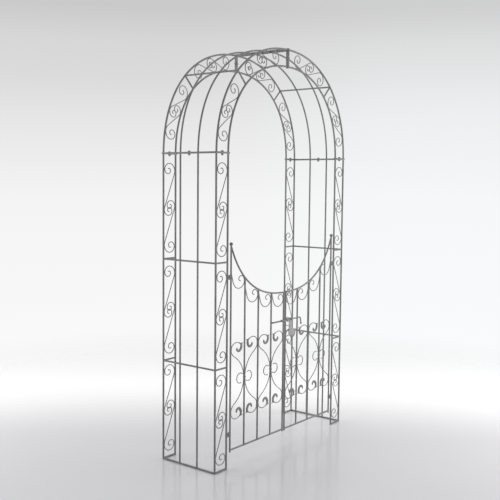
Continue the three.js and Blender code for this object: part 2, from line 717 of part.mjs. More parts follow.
// Sliding bolt with its bent handle, and the plate whose two eyes guide it.
function addBolt({ leaf, at }) {
  const along = (line, radius, count = fineSides) =>
    bar(line.map(([x, z]) => at(x, z, -latchForward)), radius, count);
  const tip = meetingStile - tongueReach;
  const bend = meetingStile + handleOffset;
  const tongue = along([[tip, latchHeight], [tip + tongueLength + latchRodRadius, latchHeight]], tongueRadius);
  const rod = along(
    [
      [tip + tongueLength, latchHeight], [bend - handleBend, latchHeight],
      [bend, latchHeight - handleBend], [bend + handleLean, latchHeight - handleDrop],
    ],
    latchRodRadius,
    barSides,
  );
  const knob = new THREE.SphereGeometry(handleKnobRadius, barSides, finialSteps).rotateX(Math.PI / 2);
  const knobPlace = at(bend + handleLean, latchHeight - handleDrop, -latchForward);
  knob.translate(knobPlace.x, knobPlace.y, knobPlace.z);
  addPiece(leaf, "gate_slide_bolt", join([tongue, rod, solidOf(knob)]));

  const neck = meetingStile + plateNeckOffset;
  const body = neck + plateBodyShift;
  const halfNeck = plateNeckWidth / 2;
  const halfBody = plateBodyWidth / 2;
  const neckTop = latchHeight + strapHeight / 2;
  const neckLow = latchHeight - plateNeckHeight;
  const bodyLow = neckLow - plateBodyHeight;
  const outline = [
    [neck - halfNeck, neckTop], [neck - halfNeck, neckLow], [body - halfBody, neckLow - plateCorner],
    [body - halfBody, bodyLow + plateCorner], [body - halfBody + plateCorner, bodyLow],
    [body + halfBody - plateCorner, bodyLow], [body + halfBody, bodyLow + plateCorner],
    [body + halfBody, neckLow - plateCorner], [neck + halfNeck, neckLow], [neck + halfNeck, neckTop],
  ].map(([x, z]) => [at(x, z).x, z]);
  const layer = -stileRadius - seatGap - plateThickness / 2;
  const strapFrom = meetingStile - padWidth / 2;
  const strapLength = neck - strapFrom;
  const strap = box(strapLength, plateThickness, strapHeight, at(strapFrom + strapLength / 2, latchHeight, layer));
  const eye = (x, radius) => along([[x - eyeWidth / 2, latchHeight], [x + eyeWidth / 2, latchHeight]], radius);
  const cut = (x, radius) =>
    along([[x - eyeWidth, latchHeight], [x + eyeWidth, latchHeight]], radius + tongueClearance);
  const whole = join([
    plate(outline, plateThickness, "y", vec(0, layer, 0)),
    strap,
    eye(meetingStile, eyeRadius),
    eye(neck, eyeRadius),
  ]);
  const drilled = whole.subtract(cut(meetingStile, tongueRadius)).subtract(cut(neck, latchRodRadius));
  addPiece(leaf, "gate_lock_plate", drilled, plateGrey);
}

for (const [name, side] of Object.entries(sides)) {
  makePillar(name, side);
  makeArchHalf(name, side);
}
addCrownBolts();
addKeeper(makeLeaf("left", sides.left));
addBolt(makeLeaf("right", sides.right));

export default arch;
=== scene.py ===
import math

import bmesh
import bpy
from mathutils import Matrix, Vector


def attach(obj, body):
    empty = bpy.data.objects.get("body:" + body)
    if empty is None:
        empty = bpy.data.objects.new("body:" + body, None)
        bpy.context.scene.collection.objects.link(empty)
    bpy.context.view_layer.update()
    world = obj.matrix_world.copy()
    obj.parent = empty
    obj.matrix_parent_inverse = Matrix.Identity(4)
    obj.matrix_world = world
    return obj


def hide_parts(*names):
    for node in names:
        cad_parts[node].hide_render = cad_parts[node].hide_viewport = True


# Garden arch with a two-leaf gate: round bars, scrolls, welds, bolts and finishes around the fixed frame.
# Lengths are in millimetres until a mesh is made; +X runs across the passage and the gate's face is at -Y.
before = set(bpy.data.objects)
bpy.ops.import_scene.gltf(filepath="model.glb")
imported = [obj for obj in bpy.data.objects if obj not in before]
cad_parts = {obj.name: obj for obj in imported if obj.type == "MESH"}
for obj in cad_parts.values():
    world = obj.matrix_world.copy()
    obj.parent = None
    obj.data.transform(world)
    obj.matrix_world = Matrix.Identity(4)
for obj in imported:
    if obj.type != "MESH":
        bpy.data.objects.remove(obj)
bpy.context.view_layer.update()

MM = 0.001
SIDES = {"left": -1, "right": 1}

# Overall frame
ARCH_WIDTH = 1250
FACE_WIDTH = 96
FRAME_DEPTH = 380
SPRINGING = 1715
MIDDLE_RAIL_SHARES = (0.3294, 0.6618)
ARCH_DROP = 15
ARCH_RISE = 619
ARCH_EXPONENT = 2.18
HALF_WIDTH = ARCH_WIDTH / 2
HALF_DEPTH = FRAME_DEPTH / 2
FACES = {"front": -HALF_DEPTH, "back": HALF_DEPTH}
ARCH_CENTRE = SPRINGING - ARCH_DROP
ARCH_MIDDLE = HALF_WIDTH - FACE_WIDTH / 2
CROWN_TOP = ARCH_CENTRE + ARCH_RISE
HAUNCH = math.pi / 4
SIDE_RODS = (-FRAME_DEPTH / 6, FRAME_DEPTH / 6)

# Bars, wire and strips
POST = 5.5
ROD = 5
RAIL = 5
WIRE = 2.5
WELD_SINK = 1
LEVELS = [RAIL, *(share * SPRINGING for share in MIDDLE_RAIL_SHARES)]
STRIP_WIDTH = 14
CROWN_STRIP_WIDTH = 17
STRIP_THICKNESS = 5
STRIP_EDGE = 0.7
EDGE = 0.8
SEAT = 0.3
PILLAR_TOP = SPRINGING - STRIP_THICKNESS - SEAT

# S scrolls
PILLAR_CURLS = {"wide": 48, "tight": 37}
PILLAR_SCROLL_ROOM = 22
ARCH_SCROLL = {"wide": 46, "tight": 33, "rise": 124}
WIDE_CURL_END = 7
TIGHT_CURL_END = 6
WIDE_CURL_TURN = 520
TIGHT_CURL_TURN = 500
CURL_EXPONENT = 1.3
CURL_STEP = 12
EYE_OFFSET = 13
PILLAR_PAIR_LIFT = (LEVELS[1] - LEVELS[0]) / 2
PILLAR_SCROLL = {**PILLAR_CURLS, "rise": PILLAR_PAIR_LIFT - PILLAR_CURLS["wide"] - PILLAR_SCROLL_ROOM}
ARCH_PAIR_TURN_SHARES = (0.2681, 0.7381)
ARCH_PAIR_SHIFT = 9.5

# Bolts
BOLT_RADIUS = 4
BOLT_HEAD_RADIUS = 7.4
BOLT_HEAD_HEIGHT = 6
NUT_HEIGHT = 6.8
BOLT_OVERRUN = 3
THREAD_PITCH = 1.25
THREAD_DEPTH = 0.5
HEX_SIDES = 6
HEX_CHAMFER = 0.9
HEX_ROUNDNESS = 0.6

# Gate
STILE = 5
GATE_ROD = 5
GATE_RAIL = 5
HINGE_OFFSET = 17
STILE_OFFSET = 14
LEAF_GAP = 10
GATE_BOTTOM = 99
STILE_FOOT = 12
STILE_TOP = 1217
RAIL_END_DROP = 6
CREST_LOW = 921
CREST_RISE = 625
CREST_OVERREACH = 47
CREST_EXPONENT = 2.45
RODS_PER_LEAF = 3
STILE_LOW = GATE_BOTTOM - STILE_FOOT
CREST_END = STILE_TOP - RAIL_END_DROP
HINGE_AXIS = HALF_WIDTH - FACE_WIDTH - HINGE_OFFSET
MEETING_STILE = LEAF_GAP / 2 + STILE
HINGE_STILE = HINGE_AXIS - STILE_OFFSET
CREST_SPAN = HINGE_STILE + CREST_OVERREACH
BAY = (HINGE_STILE - MEETING_STILE) / (RODS_PER_LEAF + 1)
GATE_RODS = [HINGE_STILE - BAY * (i + 1) for i in range(RODS_PER_LEAF)]
STILE_REACH = STILE + WIRE - WELD_SINK
ROD_REACH = GATE_ROD + WIRE - WELD_SINK

# Finials: the foot's shares are steps outwards and upwards, as multiples of an edge
FINIAL_RADIUS = 10
FINIAL_NECK = 4
FINIAL_NECK_HEIGHT = 4
FINIAL_FOOT_SHARES = ((1, 0), (1.4, 1), (0, 2.5))

# Hooks under the crest rail: shares of the bay's clear width and of the hook's height
HOOK_HEIGHT = 69
HOOK_CLEARANCE = 3
HOOK_CURL_SHARE = 0.5
HOOK_SHARES = [
    (0, 1.12), (0.045, 0.85), (0.1, 0.58), (0.18, 0.33), (0.34, 0.09), (0.56, 0), (0.78, 0.07),
    (0.94, 0.28), (1, 0.52), (0.95, 0.8), (0.8, 0.98), (0.64, 0.94), (0.555, 0.78), (0.6, 0.62), (0.72, 0.59),
]

# Hearts: shares of the clear width beside the rod and of a lobe's height; an uneven heart's lobes are
# shifted on its outer side (1) and its inner side (-1)
HEART_HEIGHT = 485
LOBE_HEIGHT = 217
LOBE_SHARES = [
    (0, 0.115), (0.02, 0.17), (0.07, 0.23), (0.17, 0.335), (0.36, 0.455), (0.635, 0.57), (0.87, 0.65),
    (0.98, 0.72), (1, 0.79), (0.98, 0.87), (0.89, 0.93), (0.69, 0.975), (0.46, 0.968), (0.3, 0.94),
]
LOBE_TOUCH_SHARES = (1, 0.79)
LEAF_SHARES = [
    (0.4, 0.957), (0.25, 0.925), (0.19, 0.88), (0.2, 0.82), (0.3, 0.755), (0.44, 0.745),
    (0.55, 0.785), (0.56, 0.84),
]
LEAF_RADII = [2.6, 5.2, 8, 9, 8.2, 7.6, 7, 4.8]
LEAF_FLATNESS = 0.5
UNEVEN_LOBES = {"left_outer_heart": {1: -9, -1: 5}}
SPIKE_ROOT_SHARES = (0.24, 0.9)
SPIKE_TIP_SHARES = (0.04, 0.945)
SPIKE_RADII = [8, 4.8, 0.7]
RING_RADIUS = 28
RING_OFFSET = 38
RING_START = 130
RING_TURN = 255
RING_ROOT_SHARE = 0.72
RING_STEP = 8
COLLAR_RADIUS = 8
COLLAR_HALF = 30
COLLAR_RIDGE = COLLAR_HALF * 2 / 5
COLLAR_LIP = COLLAR_RADIUS / 5

# Hinges: the pin's tip shares are (radius, drop from its top), as shares of its radius
HINGE_HEIGHTS = {"lower": 187, "upper": 1050}
PIN = 3
PIN_TIP_SHARES = ((1, 0.5), (0.85, 0.2), (0.5, 0))
KNUCKLE = 6
KNUCKLE_HEIGHT = 12
LUG = 7
LUG_HEIGHT = 10
LUG_SINK = POST * 0.6
WEB = 8
PIN_OVERRUN = 4

# Latch
LATCH_HEIGHT = 756
LATCH_FORWARD = 13
KEEPER = 4.8
KEEPER_RING = 7
KEEPER_RING_WIDTH = 8
KEEPER_RING_OFFSET = 36
KEEPER_REACH = 8.5
TONGUE = 3.2
TONGUE_BORE = 3.55
TONGUE_REACH = 7.5
TONGUE_LENGTH = 62
LATCH_ROD = 4
ROD_BORE = 4.35
HANDLE_OFFSET = 136
HANDLE_BEND = 10
HANDLE_DROP = 38
HANDLE_LEAN = 8
KNOB = 6
KNOB_NECK = LATCH_ROD * 0.9
PLATE = 3
PLATE_NECK_WIDTH = 33
PLATE_NECK_OFFSET = 44
PLATE_NECK_HEIGHT = 57
PLATE_BODY_WIDTH = 60
PLATE_BODY_HEIGHT = 44
PLATE_BODY_SHIFT = 11
PLATE_CORNER = 15
STRAP_HEIGHT = 18
EYE_WIDTH = 9
EYE_RADIUS = 6.5
PAD_WIDTH = 7
PAD_HEIGHT = 8
PAD_DEPTH_SHARE = 0.8

# Weld beads: their radii, how far some sit from the middle of their bar or wire, and their lumps
POST_BEAD = POST * 1.08
POST_BEAD_INSET = POST * 0.4
HAUNCH_BEAD = POST * 1.1
CROSSING_BEAD = RAIL * 1.12
SCROLL_BEAD = WIRE * 1.15
SCROLL_BEAD_OFFSET = WIRE * 0.7
MEETING_BEAD = STILE * 1.1
MEETING_BEAD_DROP = GATE_RAIL * 0.6
GATE_BEAD = GATE_RAIL * 1.15
GATE_BEAD_INSET = STILE * 0.6
CREST_BEAD = GATE_RAIL * 1.12
CREST_BEAD_DROP = GATE_RAIL * 0.5
HOOK_FOOT_BEAD = WIRE * 1.3
HOOK_SIDE_BEAD = WIRE * 1.2
LOBE_BEAD = WIRE * 1.1
LOBE_BEAD_OFFSET = WIRE * 0.8
RING_BEAD = WIRE * 1.4
BEAD_ROUGHNESS = 0.35
BEAD_LUMPS = {"Scale": 260.0, "Detail": 2.0}
NOISE_MIDDLE = 0.5

# Fineness of the round shapes, and the angles at which edges are merged, softened or drawn sharp
BAR_SIDES = 20
WIRE_SIDES = 12
ARC_STEPS = 44
CREST_STEPS = 40
SMOOTH_STEPS = 6
TURNED_SIDES = 32
BALL_STEPS = TURNED_SIDES // 2
DOME_STEPS = 4
BEND_STEPS = DOME_STEPS * 2
BEVEL_STEPS = 2
BEAD_DIVISIONS = 3
DOME_TIP_SHARE = 0.04
KNOB_TIP_SHARE = 0.02
FLAT_ANGLE = math.radians(1)
SOFTENED_ANGLE = math.radians(25)
SHARP_ANGLE = math.radians(38)


# Node trees

class Value:
    """A node's output in a sum: each operator adds a Math node."""

    def __init__(self, graph, socket):
        self.graph = graph
        self.socket = socket

    def _math(self, operation, first, second):
        return self.graph.node("ShaderNodeMath", {"operation": operation}, {0: first, 1: second})

    def __add__(self, other):
        return self._math("ADD", self, other)

    def __sub__(self, other):
        return self._math("SUBTRACT", self, other)

    def __rsub__(self, other):
        return self._math("SUBTRACT", other, self)

    def __mul__(self, other):
        return self._math("MULTIPLY", self, other)

    def __gt__(self, other):
        return self._math("GREATER_THAN", self, other)

    __radd__ = __add__
    __rmul__ = __mul__


class Graph:
    """A node tree, built by one method that makes any node."""

    def __init__(self, tree):
        self.tree = tree
        tree.nodes.clear()

    def node(self, kind, settings=None, inputs=None, out=0):
        made = self.tree.nodes.new(kind)
        for name, setting in (settings or {}).items():
            if name == "stops":
                elements = made.color_ramp.elements
                while len(elements) < len(setting):
                    elements.new(1)
                for element, (place, tone) in zip(elements, setting):
                    element.position = place
                    element.color = tone
            else:
                setattr(made, name, setting)
        for name, value in (inputs or {}).items():
            if isinstance(value, Value):
                self.tree.links.new(value.socket, made.inputs[name])
            else:
                made.inputs[name].default_value = value
        return Value(self, made.outputs[out]) if len(made.outputs) else None

    def mix(self, share, first, second, blend="MIX"):
        """A colour mixed from two."""
        settings = {"data_type": "RGBA", "blend_type": blend}
        return self.node("ShaderNodeMix", settings, {"Factor": share, 6: first, 7: second}, out=2)


def attribute(graph, name):
    return graph.node("GeometryNodeInputNamedAttribute", {"data_type": "FLOAT"}, {"Name": name})


def round_bars(graph, given):
    """Tubes along the wires; a flat stretch is pressed towards the plane."""
    curves = graph.node("GeometryNodeMeshToCurve", {}, {"Mesh": given["Wires"]})
    ring = graph.node("GeometryNodeCurvePrimitiveCircle", {}, {"Resolution": given["Sides"], "Radius": 1.0})
    tubes = graph.node(
        "GeometryNodeCurveToMesh", {},
        {"Curve": curves, "Profile Curve": ring, "Scale": attribute(graph, "bar_radius"), "Fill Caps": True},
    )
    place = graph.node("GeometryNodeInputPosition")
    parts = graph.node("ShaderNodeSeparateXYZ", {}, {0: place}).socket.node.outputs
    x, y, z = (Value(graph, part) for part in parts)
    pressed = given["Plane"] + (y - given["Plane"]) * attribute(graph, "flatness")
    moved = graph.node("ShaderNodeCombineXYZ", {}, {0: x, 1: pressed, 2: z})
    return graph.node("GeometryNodeSetPosition", {}, {"Geometry": tubes, "Position": moved})


def weld_beads(graph, given):
    """Lumpy balls at the points of the wires that carry a bead."""
    bead = attribute(graph, "bead_radius")
    spots = graph.node("GeometryNodeMeshToPoints", {}, {"Mesh": given["Wires"], "Selection": bead > 0.0})
    ball = graph.node("GeometryNodeMeshIcoSphere", {}, {"Radius": 1.0, "Subdivisions": BEAD_DIVISIONS})
    turn = graph.node(
        "FunctionNodeRandomValue", {"data_type": "FLOAT_VECTOR"},
        {"Max": (math.tau, math.tau, math.tau), "Seed": given["Seed"]},
    )
    drops = graph.node(
        "GeometryNodeInstanceOnPoints", {},
        {"Points": spots, "Instance": ball, "Rotation": turn, "Scale": bead},
    )
    solid = graph.node("GeometryNodeRealizeInstances", {}, {0: drops})
    place = graph.node("GeometryNodeInputPosition")
    lumps = graph.node("ShaderNodeTexNoise", {}, {"Vector": place, **BEAD_LUMPS})
    swell = (lumps - NOISE_MIDDLE) * given["Bead Roughness"]
    normal = graph.node("GeometryNodeInputNormal")
    offset = graph.node("ShaderNodeVectorMath", {"operation": "SCALE"}, {0: normal, "Scale": swell})
    return graph.node("GeometryNodeSetPosition", {}, {"Geometry": solid, "Offset": offset})


def ironwork_tree():
    """Bars along the edges of a wire mesh, and weld beads at its marked points."""
    tree = bpy.data.node_groups.new("bars_and_welds", "GeometryNodeTree")
    graph = Graph(tree)
    for name, kind in (
        ("Wires", "NodeSocketGeometry"), ("Sides", "NodeSocketInt"), ("Plane", "NodeSocketFloat"),
        ("Bead Roughness", "NodeSocketFloat"), ("Seed", "NodeSocketInt"), ("Finish", "NodeSocketMaterial"),
    ):
        tree.interface.new_socket(name, in_out="INPUT", socket_type=kind)
    tree.interface.new_socket("Ironwork", in_out="OUTPUT", socket_type="NodeSocketGeometry")
    entry = graph.node("NodeGroupInput").socket.node.outputs
    given = {socket.name: Value(graph, socket) for socket in entry if socket.name}
    shapes = [round_bars(graph, given), weld_beads(graph, given)]
    join = tree.nodes.new("GeometryNodeJoinGeometry")
    for shape in shapes:
        tree.links.new(shape.socket, join.inputs[0])
    smooth_shape = graph.node("GeometryNodeSetShadeSmooth", {}, {0: Value(graph, join.outputs[0])})
    plain_shape = graph.node("GeometryNodeRealizeInstances", {}, {0: smooth_shape})
    coated = graph.node("GeometryNodeSetMaterial", {}, {"Geometry": plain_shape, "Material": given["Finish"]})
    graph.node("NodeGroupOutput", {}, {0: coated})
    return tree


BARS_AND_WELDS = ironwork_tree()


# Lines

def evenly(first, last, count):
    """Even steps from one value to another, with both of them."""
    return [first + (last - first) * i / count for i in range(count + 1)]


def circle(radius, sides, centre=(0, 0)):
    """Corners of a regular outline round a centre."""
    turns = evenly(0, math.tau, sides)[:-1]
    return [(centre[0] + radius * math.cos(turn), centre[1] + radius * math.sin(turn)) for turn in turns]


def smooth(points):
    """Points on a smooth curve through a list of places, which stays tight where they lie close."""
    ends = [points[0] * 2 - points[1], *points, points[-1] * 2 - points[-2]]
    line = []
    for p0, p1, p2, p3 in zip(ends, ends[1:], ends[2:], ends[3:]):
        t1 = math.sqrt((p1 - p0).length)
        t2 = t1 + math.sqrt((p2 - p1).length)
        t3 = t2 + math.sqrt((p3 - p2).length)
        for t in evenly(t1, t2, SMOOTH_STEPS)[:-1]:
            a1 = p0 * ((t1 - t) / t1) + p1 * (t / t1)
            a2 = p1 * ((t2 - t) / (t2 - t1)) + p2 * ((t - t1) / (t2 - t1))
            a3 = p2 * ((t3 - t) / (t3 - t2)) + p3 * ((t - t2) / (t3 - t2))
            b1 = a1 * ((t2 - t) / t2) + a2 * (t / t2)
            b2 = a2 * ((t3 - t) / (t3 - t1)) + a3 * ((t - t1) / (t3 - t1))
            line.append(b1 * ((t2 - t) / (t2 - t1)) + b2 * ((t - t1) / (t2 - t1)))
    return [*line, points[-1]]


def spread(values):
    """One value for each point of a smooth line, from one for each of its places."""
    line = [value for a, b in zip(values, values[1:]) for value in evenly(a, b, SMOOTH_STEPS)[:-1]]
    return [*line, values[-1]]


def rounded_corner(before, corner, after, reach, steps):
    """Points of a curve that rounds a corner off between its two neighbours."""
    first = corner + (before - corner).normalized() * reach
    last = corner + (after - corner).normalized() * reach
    return [
        first.lerp(corner, share).lerp(corner.lerp(last, share), share) for share in evenly(0, 1, steps)
    ]


def dome(line, radii):
    """Rounds the last end of a bar off by a quarter circle."""
    way = (line[-1] - line[-2]).normalized()
    size = radii[-1]
    base = line[-1] - way * size
    kept = [
        (place, radius) for place, radius in zip(line, radii)
        if (place - base).dot(way) < 0 or (place - base).length > 2 * size
    ]
    cap = []
    for angle in evenly(0, math.pi / 2, DOME_STEPS)[1:]:
        radius = max(size * math.cos(angle), size * DOME_TIP_SHARE)
        cap.append((base + way * size * math.sin(angle), radius))
    places, sizes = zip(*kept, (base, size), *cap)
    return list(places), list(sizes)


# Pieces

def put_in_scene(name, data):
    holder = bpy.data.objects.new(name, data)
    bpy.context.scene.collection.objects.link(holder)
    return holder


def settle(piece, body, node):
    """Gives a finished piece its sharp edges and its body, and hides the imported part that it stands for."""
    piece.data.set_sharp_from_angle(angle=SHARP_ANGLE)
    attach(piece, body)
    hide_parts(node)


def baked(piece):
    """Turns the evaluated shape of a piece into its plain mesh."""
    bpy.context.view_layer.update()
    graph = bpy.context.evaluated_depsgraph_get()
    mesh = bpy.data.meshes.new_from_object(piece.evaluated_get(graph), depsgraph=graph)
    wires = piece.data
    piece.modifiers.clear()
    piece.data = mesh
    bpy.data.meshes.remove(wires)
    mesh.name = piece.name


class Ironwork:
    """The bars and weld beads of one piece."""

    def __init__(self, plane=0.0):
        self.plane = plane
        self.places = []
        self.edges = []
        self.values = {"bar_radius": [], "flatness": [], "bead_radius": []}

    def _station(self, place, radius, flatness, bead):
        self.places.append(place)
        self.values["bar_radius"].append(radius * MM)
        self.values["flatness"].append(flatness)
        self.values["bead_radius"].append(bead * MM)

    def bar(self, line, radius, flatness=1.0):
        """A bar along a line of points, round unless it is pressed flat; radius is one size or a list."""
        radii = radius if isinstance(radius, list) else [radius] * len(line)
        first = len(self.places)
        for place, size in zip(line, radii):
            self._station(place, size, flatness, 0)
        self.edges += [(i, i + 1) for i in range(first, first + len(line) - 1)]

    def standing(self, foot, head, radius):
        """A straight bar with a chamfered foot."""
        self.bar([foot, foot + Vector((0, 0, EDGE)), head], [radius - EDGE, radius, radius])

    def rounded(self, line, radius, flatness=1.0, start=True, end=True):
        """A bar whose free ends are domed."""
        places = line
        radii = radius if isinstance(radius, list) else [radius] * len(line)
        if end:
            places, radii = dome(places, radii)
        if start:
            places, radii = dome(places[::-1], radii[::-1])
        self.bar(places, radii, flatness)

    def weld(self, place, radius):
        """A bead at a place, kept clear of the ground."""
        self._station(place, 0, 1, min(radius, place.z - SEAT))

    def make(self, name, node, body="frame", slot="grey_paint", sides=BAR_SIDES):
        mesh = bpy.data.meshes.new(name)
        mesh.from_pydata([place * MM for place in self.places], self.edges, [])
        for label, values in self.values.items():
            mesh.attributes.new(label, "FLOAT", "POINT").data.foreach_set("value", values)
        piece = put_in_scene(name, mesh)
        modifier = piece.modifiers.new("Bars and welds", "NODES")
        modifier.node_group = BARS_AND_WELDS
        inputs = {
            "Sides": sides, "Plane": self.plane * MM, "Bead Roughness": BEAD_ROUGHNESS * MM,
            "Seed": len(self.places), "Finish": FINISHES[slot],
        }
        for item in BARS_AND_WELDS.interface.items_tree:
            if item.item_type == "SOCKET" and item.name in inputs:
                modifier[item.identifier] = inputs[item.name]
        baked(piece)
        settle(piece, body, node)
        return piece


def bevel(part, edges, offset, roundness=0.5):
    bmesh.ops.bevel(
        part, geom=edges, offset=offset, segments=BEVEL_STEPS, profile=roundness, affect="EDGES",
        clamp_overlap=True,
    )


def soften(part, offset):
    """Rounds every edge that isn't nearly flat."""
    sharp = [e for e in part.edges if len(e.link_faces) == 2 and e.calc_face_angle() > SOFTENED_ANGLE]
    bevel(part, sharp, offset)


def raise_faces(part, faces, height):
    """Pulls flat faces up into a closed solid."""
    grown = bmesh.ops.extrude_face_region(part, geom=faces)["geom"]
    tops = [item for item in grown if isinstance(item, bmesh.types.BMVert)]
    bmesh.ops.translate(part, verts=tops, vec=(0, 0, height))
    bmesh.ops.recalc_face_normals(part, faces=part.faces[:])


class Solid:
    """A mesh that is put together from turned, blocked and sheet parts."""

    def __init__(self):
        self.mesh = bmesh.new()

    def turned(self, profile, matrix):
        """A profile of (radius, height) points, turned about z; it closes on the axis or on itself."""
        rings = []
        for radius, height in profile:
            corners = circle(radius, TURNED_SIDES) if radius > 0 else [(0, 0)]
            rings.append([self.mesh.verts.new((a, b, height)) for a, b in corners])
        closing = rings[:1] if profile[0][0] > 0 else []
        for low, high in zip(rings, rings[1:] + closing):
            for i in range(TURNED_SIDES):
                j = (i + 1) % TURNED_SIDES
                corners = [low[i % len(low)], low[j % len(low)], high[j % len(high)], high[i % len(high)]]
                self.mesh.faces.new(list(dict.fromkeys(corners)))
        bmesh.ops.transform(self.mesh, matrix=matrix, verts=[v for ring in rings for v in ring])

    def sheet(self, outline, thickness, matrix, holes=(), edge=STRIP_EDGE):
        """A flat outline with round holes, given its thickness about z = 0 and softened edges."""
        part = bmesh.new()
        for loop in (outline, *(circle(radius, TURNED_SIDES, (a, b)) for a, b, radius in holes)):
            verts = [part.verts.new((a, b, -thickness / 2)) for a, b in loop]
            for first, second in zip(verts, verts[1:] + verts[:1]):
                part.edges.new((first, second))
        bmesh.ops.triangle_fill(part, edges=part.edges[:], use_beauty=True)
        bmesh.ops.recalc_face_normals(part, faces=part.faces[:])
        raise_faces(part, part.faces[:], thickness)
        bmesh.ops.dissolve_limit(part, angle_limit=FLAT_ANGLE, verts=part.verts[:], edges=part.edges[:])
        soften(part, edge)
        self._take(part, matrix)

    def block(self, low, high):
        """A box between two corners with softened edges."""
        part = bmesh.new()
        size = [abs(b - a) for a, b in zip(low, high)]
        centre = [(a + b) / 2 for a, b in zip(low, high)]
        bmesh.ops.create_cube(part, size=1)
        bmesh.ops.scale(part, vec=size, verts=part.verts[:])
        soften(part, EDGE)
        self._take(part, Matrix.Translation(centre))

    def hexagon(self, radius, height, matrix):
        """A six-sided head from z = 0 up, with a chamfer round its top."""
        part = bmesh.new()
        base = part.faces.new([part.verts.new((a, b, 0)) for a, b in circle(radius, HEX_SIDES)])
        raise_faces(part, [base], height)
        rim = [edge for edge in part.edges if all(abs(v.co.z - height) < MM for v in edge.verts)]
        bevel(part, rim, HEX_CHAMFER, HEX_ROUNDNESS)
        self._take(part, matrix)

    def _take(self, part, matrix):
        """Adds a part at its place."""
        bmesh.ops.transform(part, matrix=matrix, verts=part.verts[:])
        bmesh.ops.recalc_face_normals(part, faces=part.faces[:])
        spare = bpy.data.meshes.new("part")
        part.to_mesh(spare)
        part.free()
        self.mesh.from_mesh(spare)
        bpy.data.meshes.remove(spare)

    def _finished(self, name, material_index=0):
        """The whole mesh in metres, with its faces smooth and outwards."""
        bmesh.ops.scale(self.mesh, vec=(MM, MM, MM), verts=self.mesh.verts[:])
        bmesh.ops.recalc_face_normals(self.mesh, faces=self.mesh.faces[:])
        for face in self.mesh.faces:
            face.smooth = True
            face.material_index = material_index
        mesh = bpy.data.meshes.new(name)
        self.mesh.to_mesh(mesh)
        self.mesh.free()
        return mesh

    def make(self, name, node, body="frame", slot="grey_paint"):
        mesh = self._finished(name)
        mesh.materials.append(FINISHES[slot])
        settle(put_in_scene(name, mesh), body, node)

    def join_to(self, piece):
        """Adds the mesh to a piece of ironwork that is already made."""
        added = self._finished("part", piece.data.polygons[0].material_index)
        whole = bmesh.new()
        whole.from_mesh(piece.data)
        whole.from_mesh(added)
        whole.to_mesh(piece.data)
        whole.free()
        bpy.data.meshes.remove(added)
        piece.data.set_sharp_from_angle(angle=SHARP_ANGLE)


def tube_profile(outer, bore, length):
    rim = outer - EDGE
    return [(bore, 0), (rim, 0), (outer, EDGE), (outer, length - EDGE), (rim, length), (bore, length)]


# Finishes

def grey(value, tint=(1, 1, 1)):
    """A colour from its screen value, 0 to 255, as the linear colour that a shader takes."""
    share = value / 255
    linear = share / 12.92 if share <= 0.04045 else ((share + 0.055) / 1.055) ** 2.4
    return tuple(linear * t for t in tint) + (1,)


def surface(name, build):
    """A material whose Principled shader takes what the function returns for its sockets."""
    material = bpy.data.materials.new(name)
    material.use_nodes = True
    graph = Graph(material.node_tree)
    shader = graph.node("ShaderNodeBsdfPrincipled", {}, build(graph))
    graph.node("ShaderNodeOutputMaterial", {}, {"Surface": shader})
    return material


def noise(graph, scale, detail=3.0, roughness=0.55):
    place = graph.node("ShaderNodeTexCoord", out="Object")
    inputs = {"Vector": place, "Scale": scale, "Detail": detail, "Roughness": roughness}
    return graph.node("ShaderNodeTexNoise", {}, inputs)


def ramp(graph, value, low, high):
    """Rises from 0 to 1 while the value goes from low to high."""
    return graph.node("ShaderNodeMapRange", {"interpolation_type": "SMOOTHSTEP"}, {0: value, 1: low, 2: high})


def patches(graph, fade, **pattern):
    """A mask of noise that comes in between two of its values."""
    return ramp(graph, noise(graph, **pattern), *fade)


def bump(graph, height, strength, depth):
    return graph.node("ShaderNodeBump", {}, {"Strength": strength, "Distance": depth, "Height": height})


def facing_up(graph):
    """1 where the surface faces the sky, -1 where it faces the ground."""
    normal = graph.node("ShaderNodeNewGeometry", out="Normal")
    return graph.node("ShaderNodeSeparateXYZ", {}, {0: normal}, out="Z")


# Satin paint; noise scales are in cycles per metre here and below
PAINT_DARK = grey(118, (0.99, 1, 0.97))
PAINT_LIGHT = grey(136, (0.99, 1, 0.98))
PAINT_METALLIC = 0.45
PAINT_ROUGHNESS = 0.32
CLOUD_SCALE = 9.0
CLOUD_FADE = (0.3, 0.7)
CLOUD_ROUGHNESS = 0.14
FLAKE_TONE = grey(165)
FLAKES = {"scale": 900.0, "detail": 1.0, "fade": (0.4, 0.75)}
FLAKE_SHARE = 0.25
# Tone of the upward faces, which are painted lighter: partly dust, partly painted light from above
DUST_AND_TOP_LIGHT_TONE = grey(176, (1, 0.99, 0.96))
DUST_AND_TOP_LIGHT_PATCHES = {"scale": 30.0, "fade": (0.35, 0.7)}
DUST_AND_TOP_LIGHT_SLOPE = (0.25, 0.95)
DUST_AND_TOP_LIGHT_SHARE = 0.3
DUST_ROUGHNESS = 0.18
BARE_STEEL = grey(170)
RUBBED_SPOTS = {"scale": 55.0, "detail": 5.0, "roughness": 0.7, "fade": (0.66, 0.72)}
RUBBED_SHARE = 0.55
RUBBED_METALLIC = 0.35
ORANGE_PEEL = {"scale": 420.0, "detail": 2.0}
PEEL_BUMP = {"strength": 0.35, "depth": 0.0004}


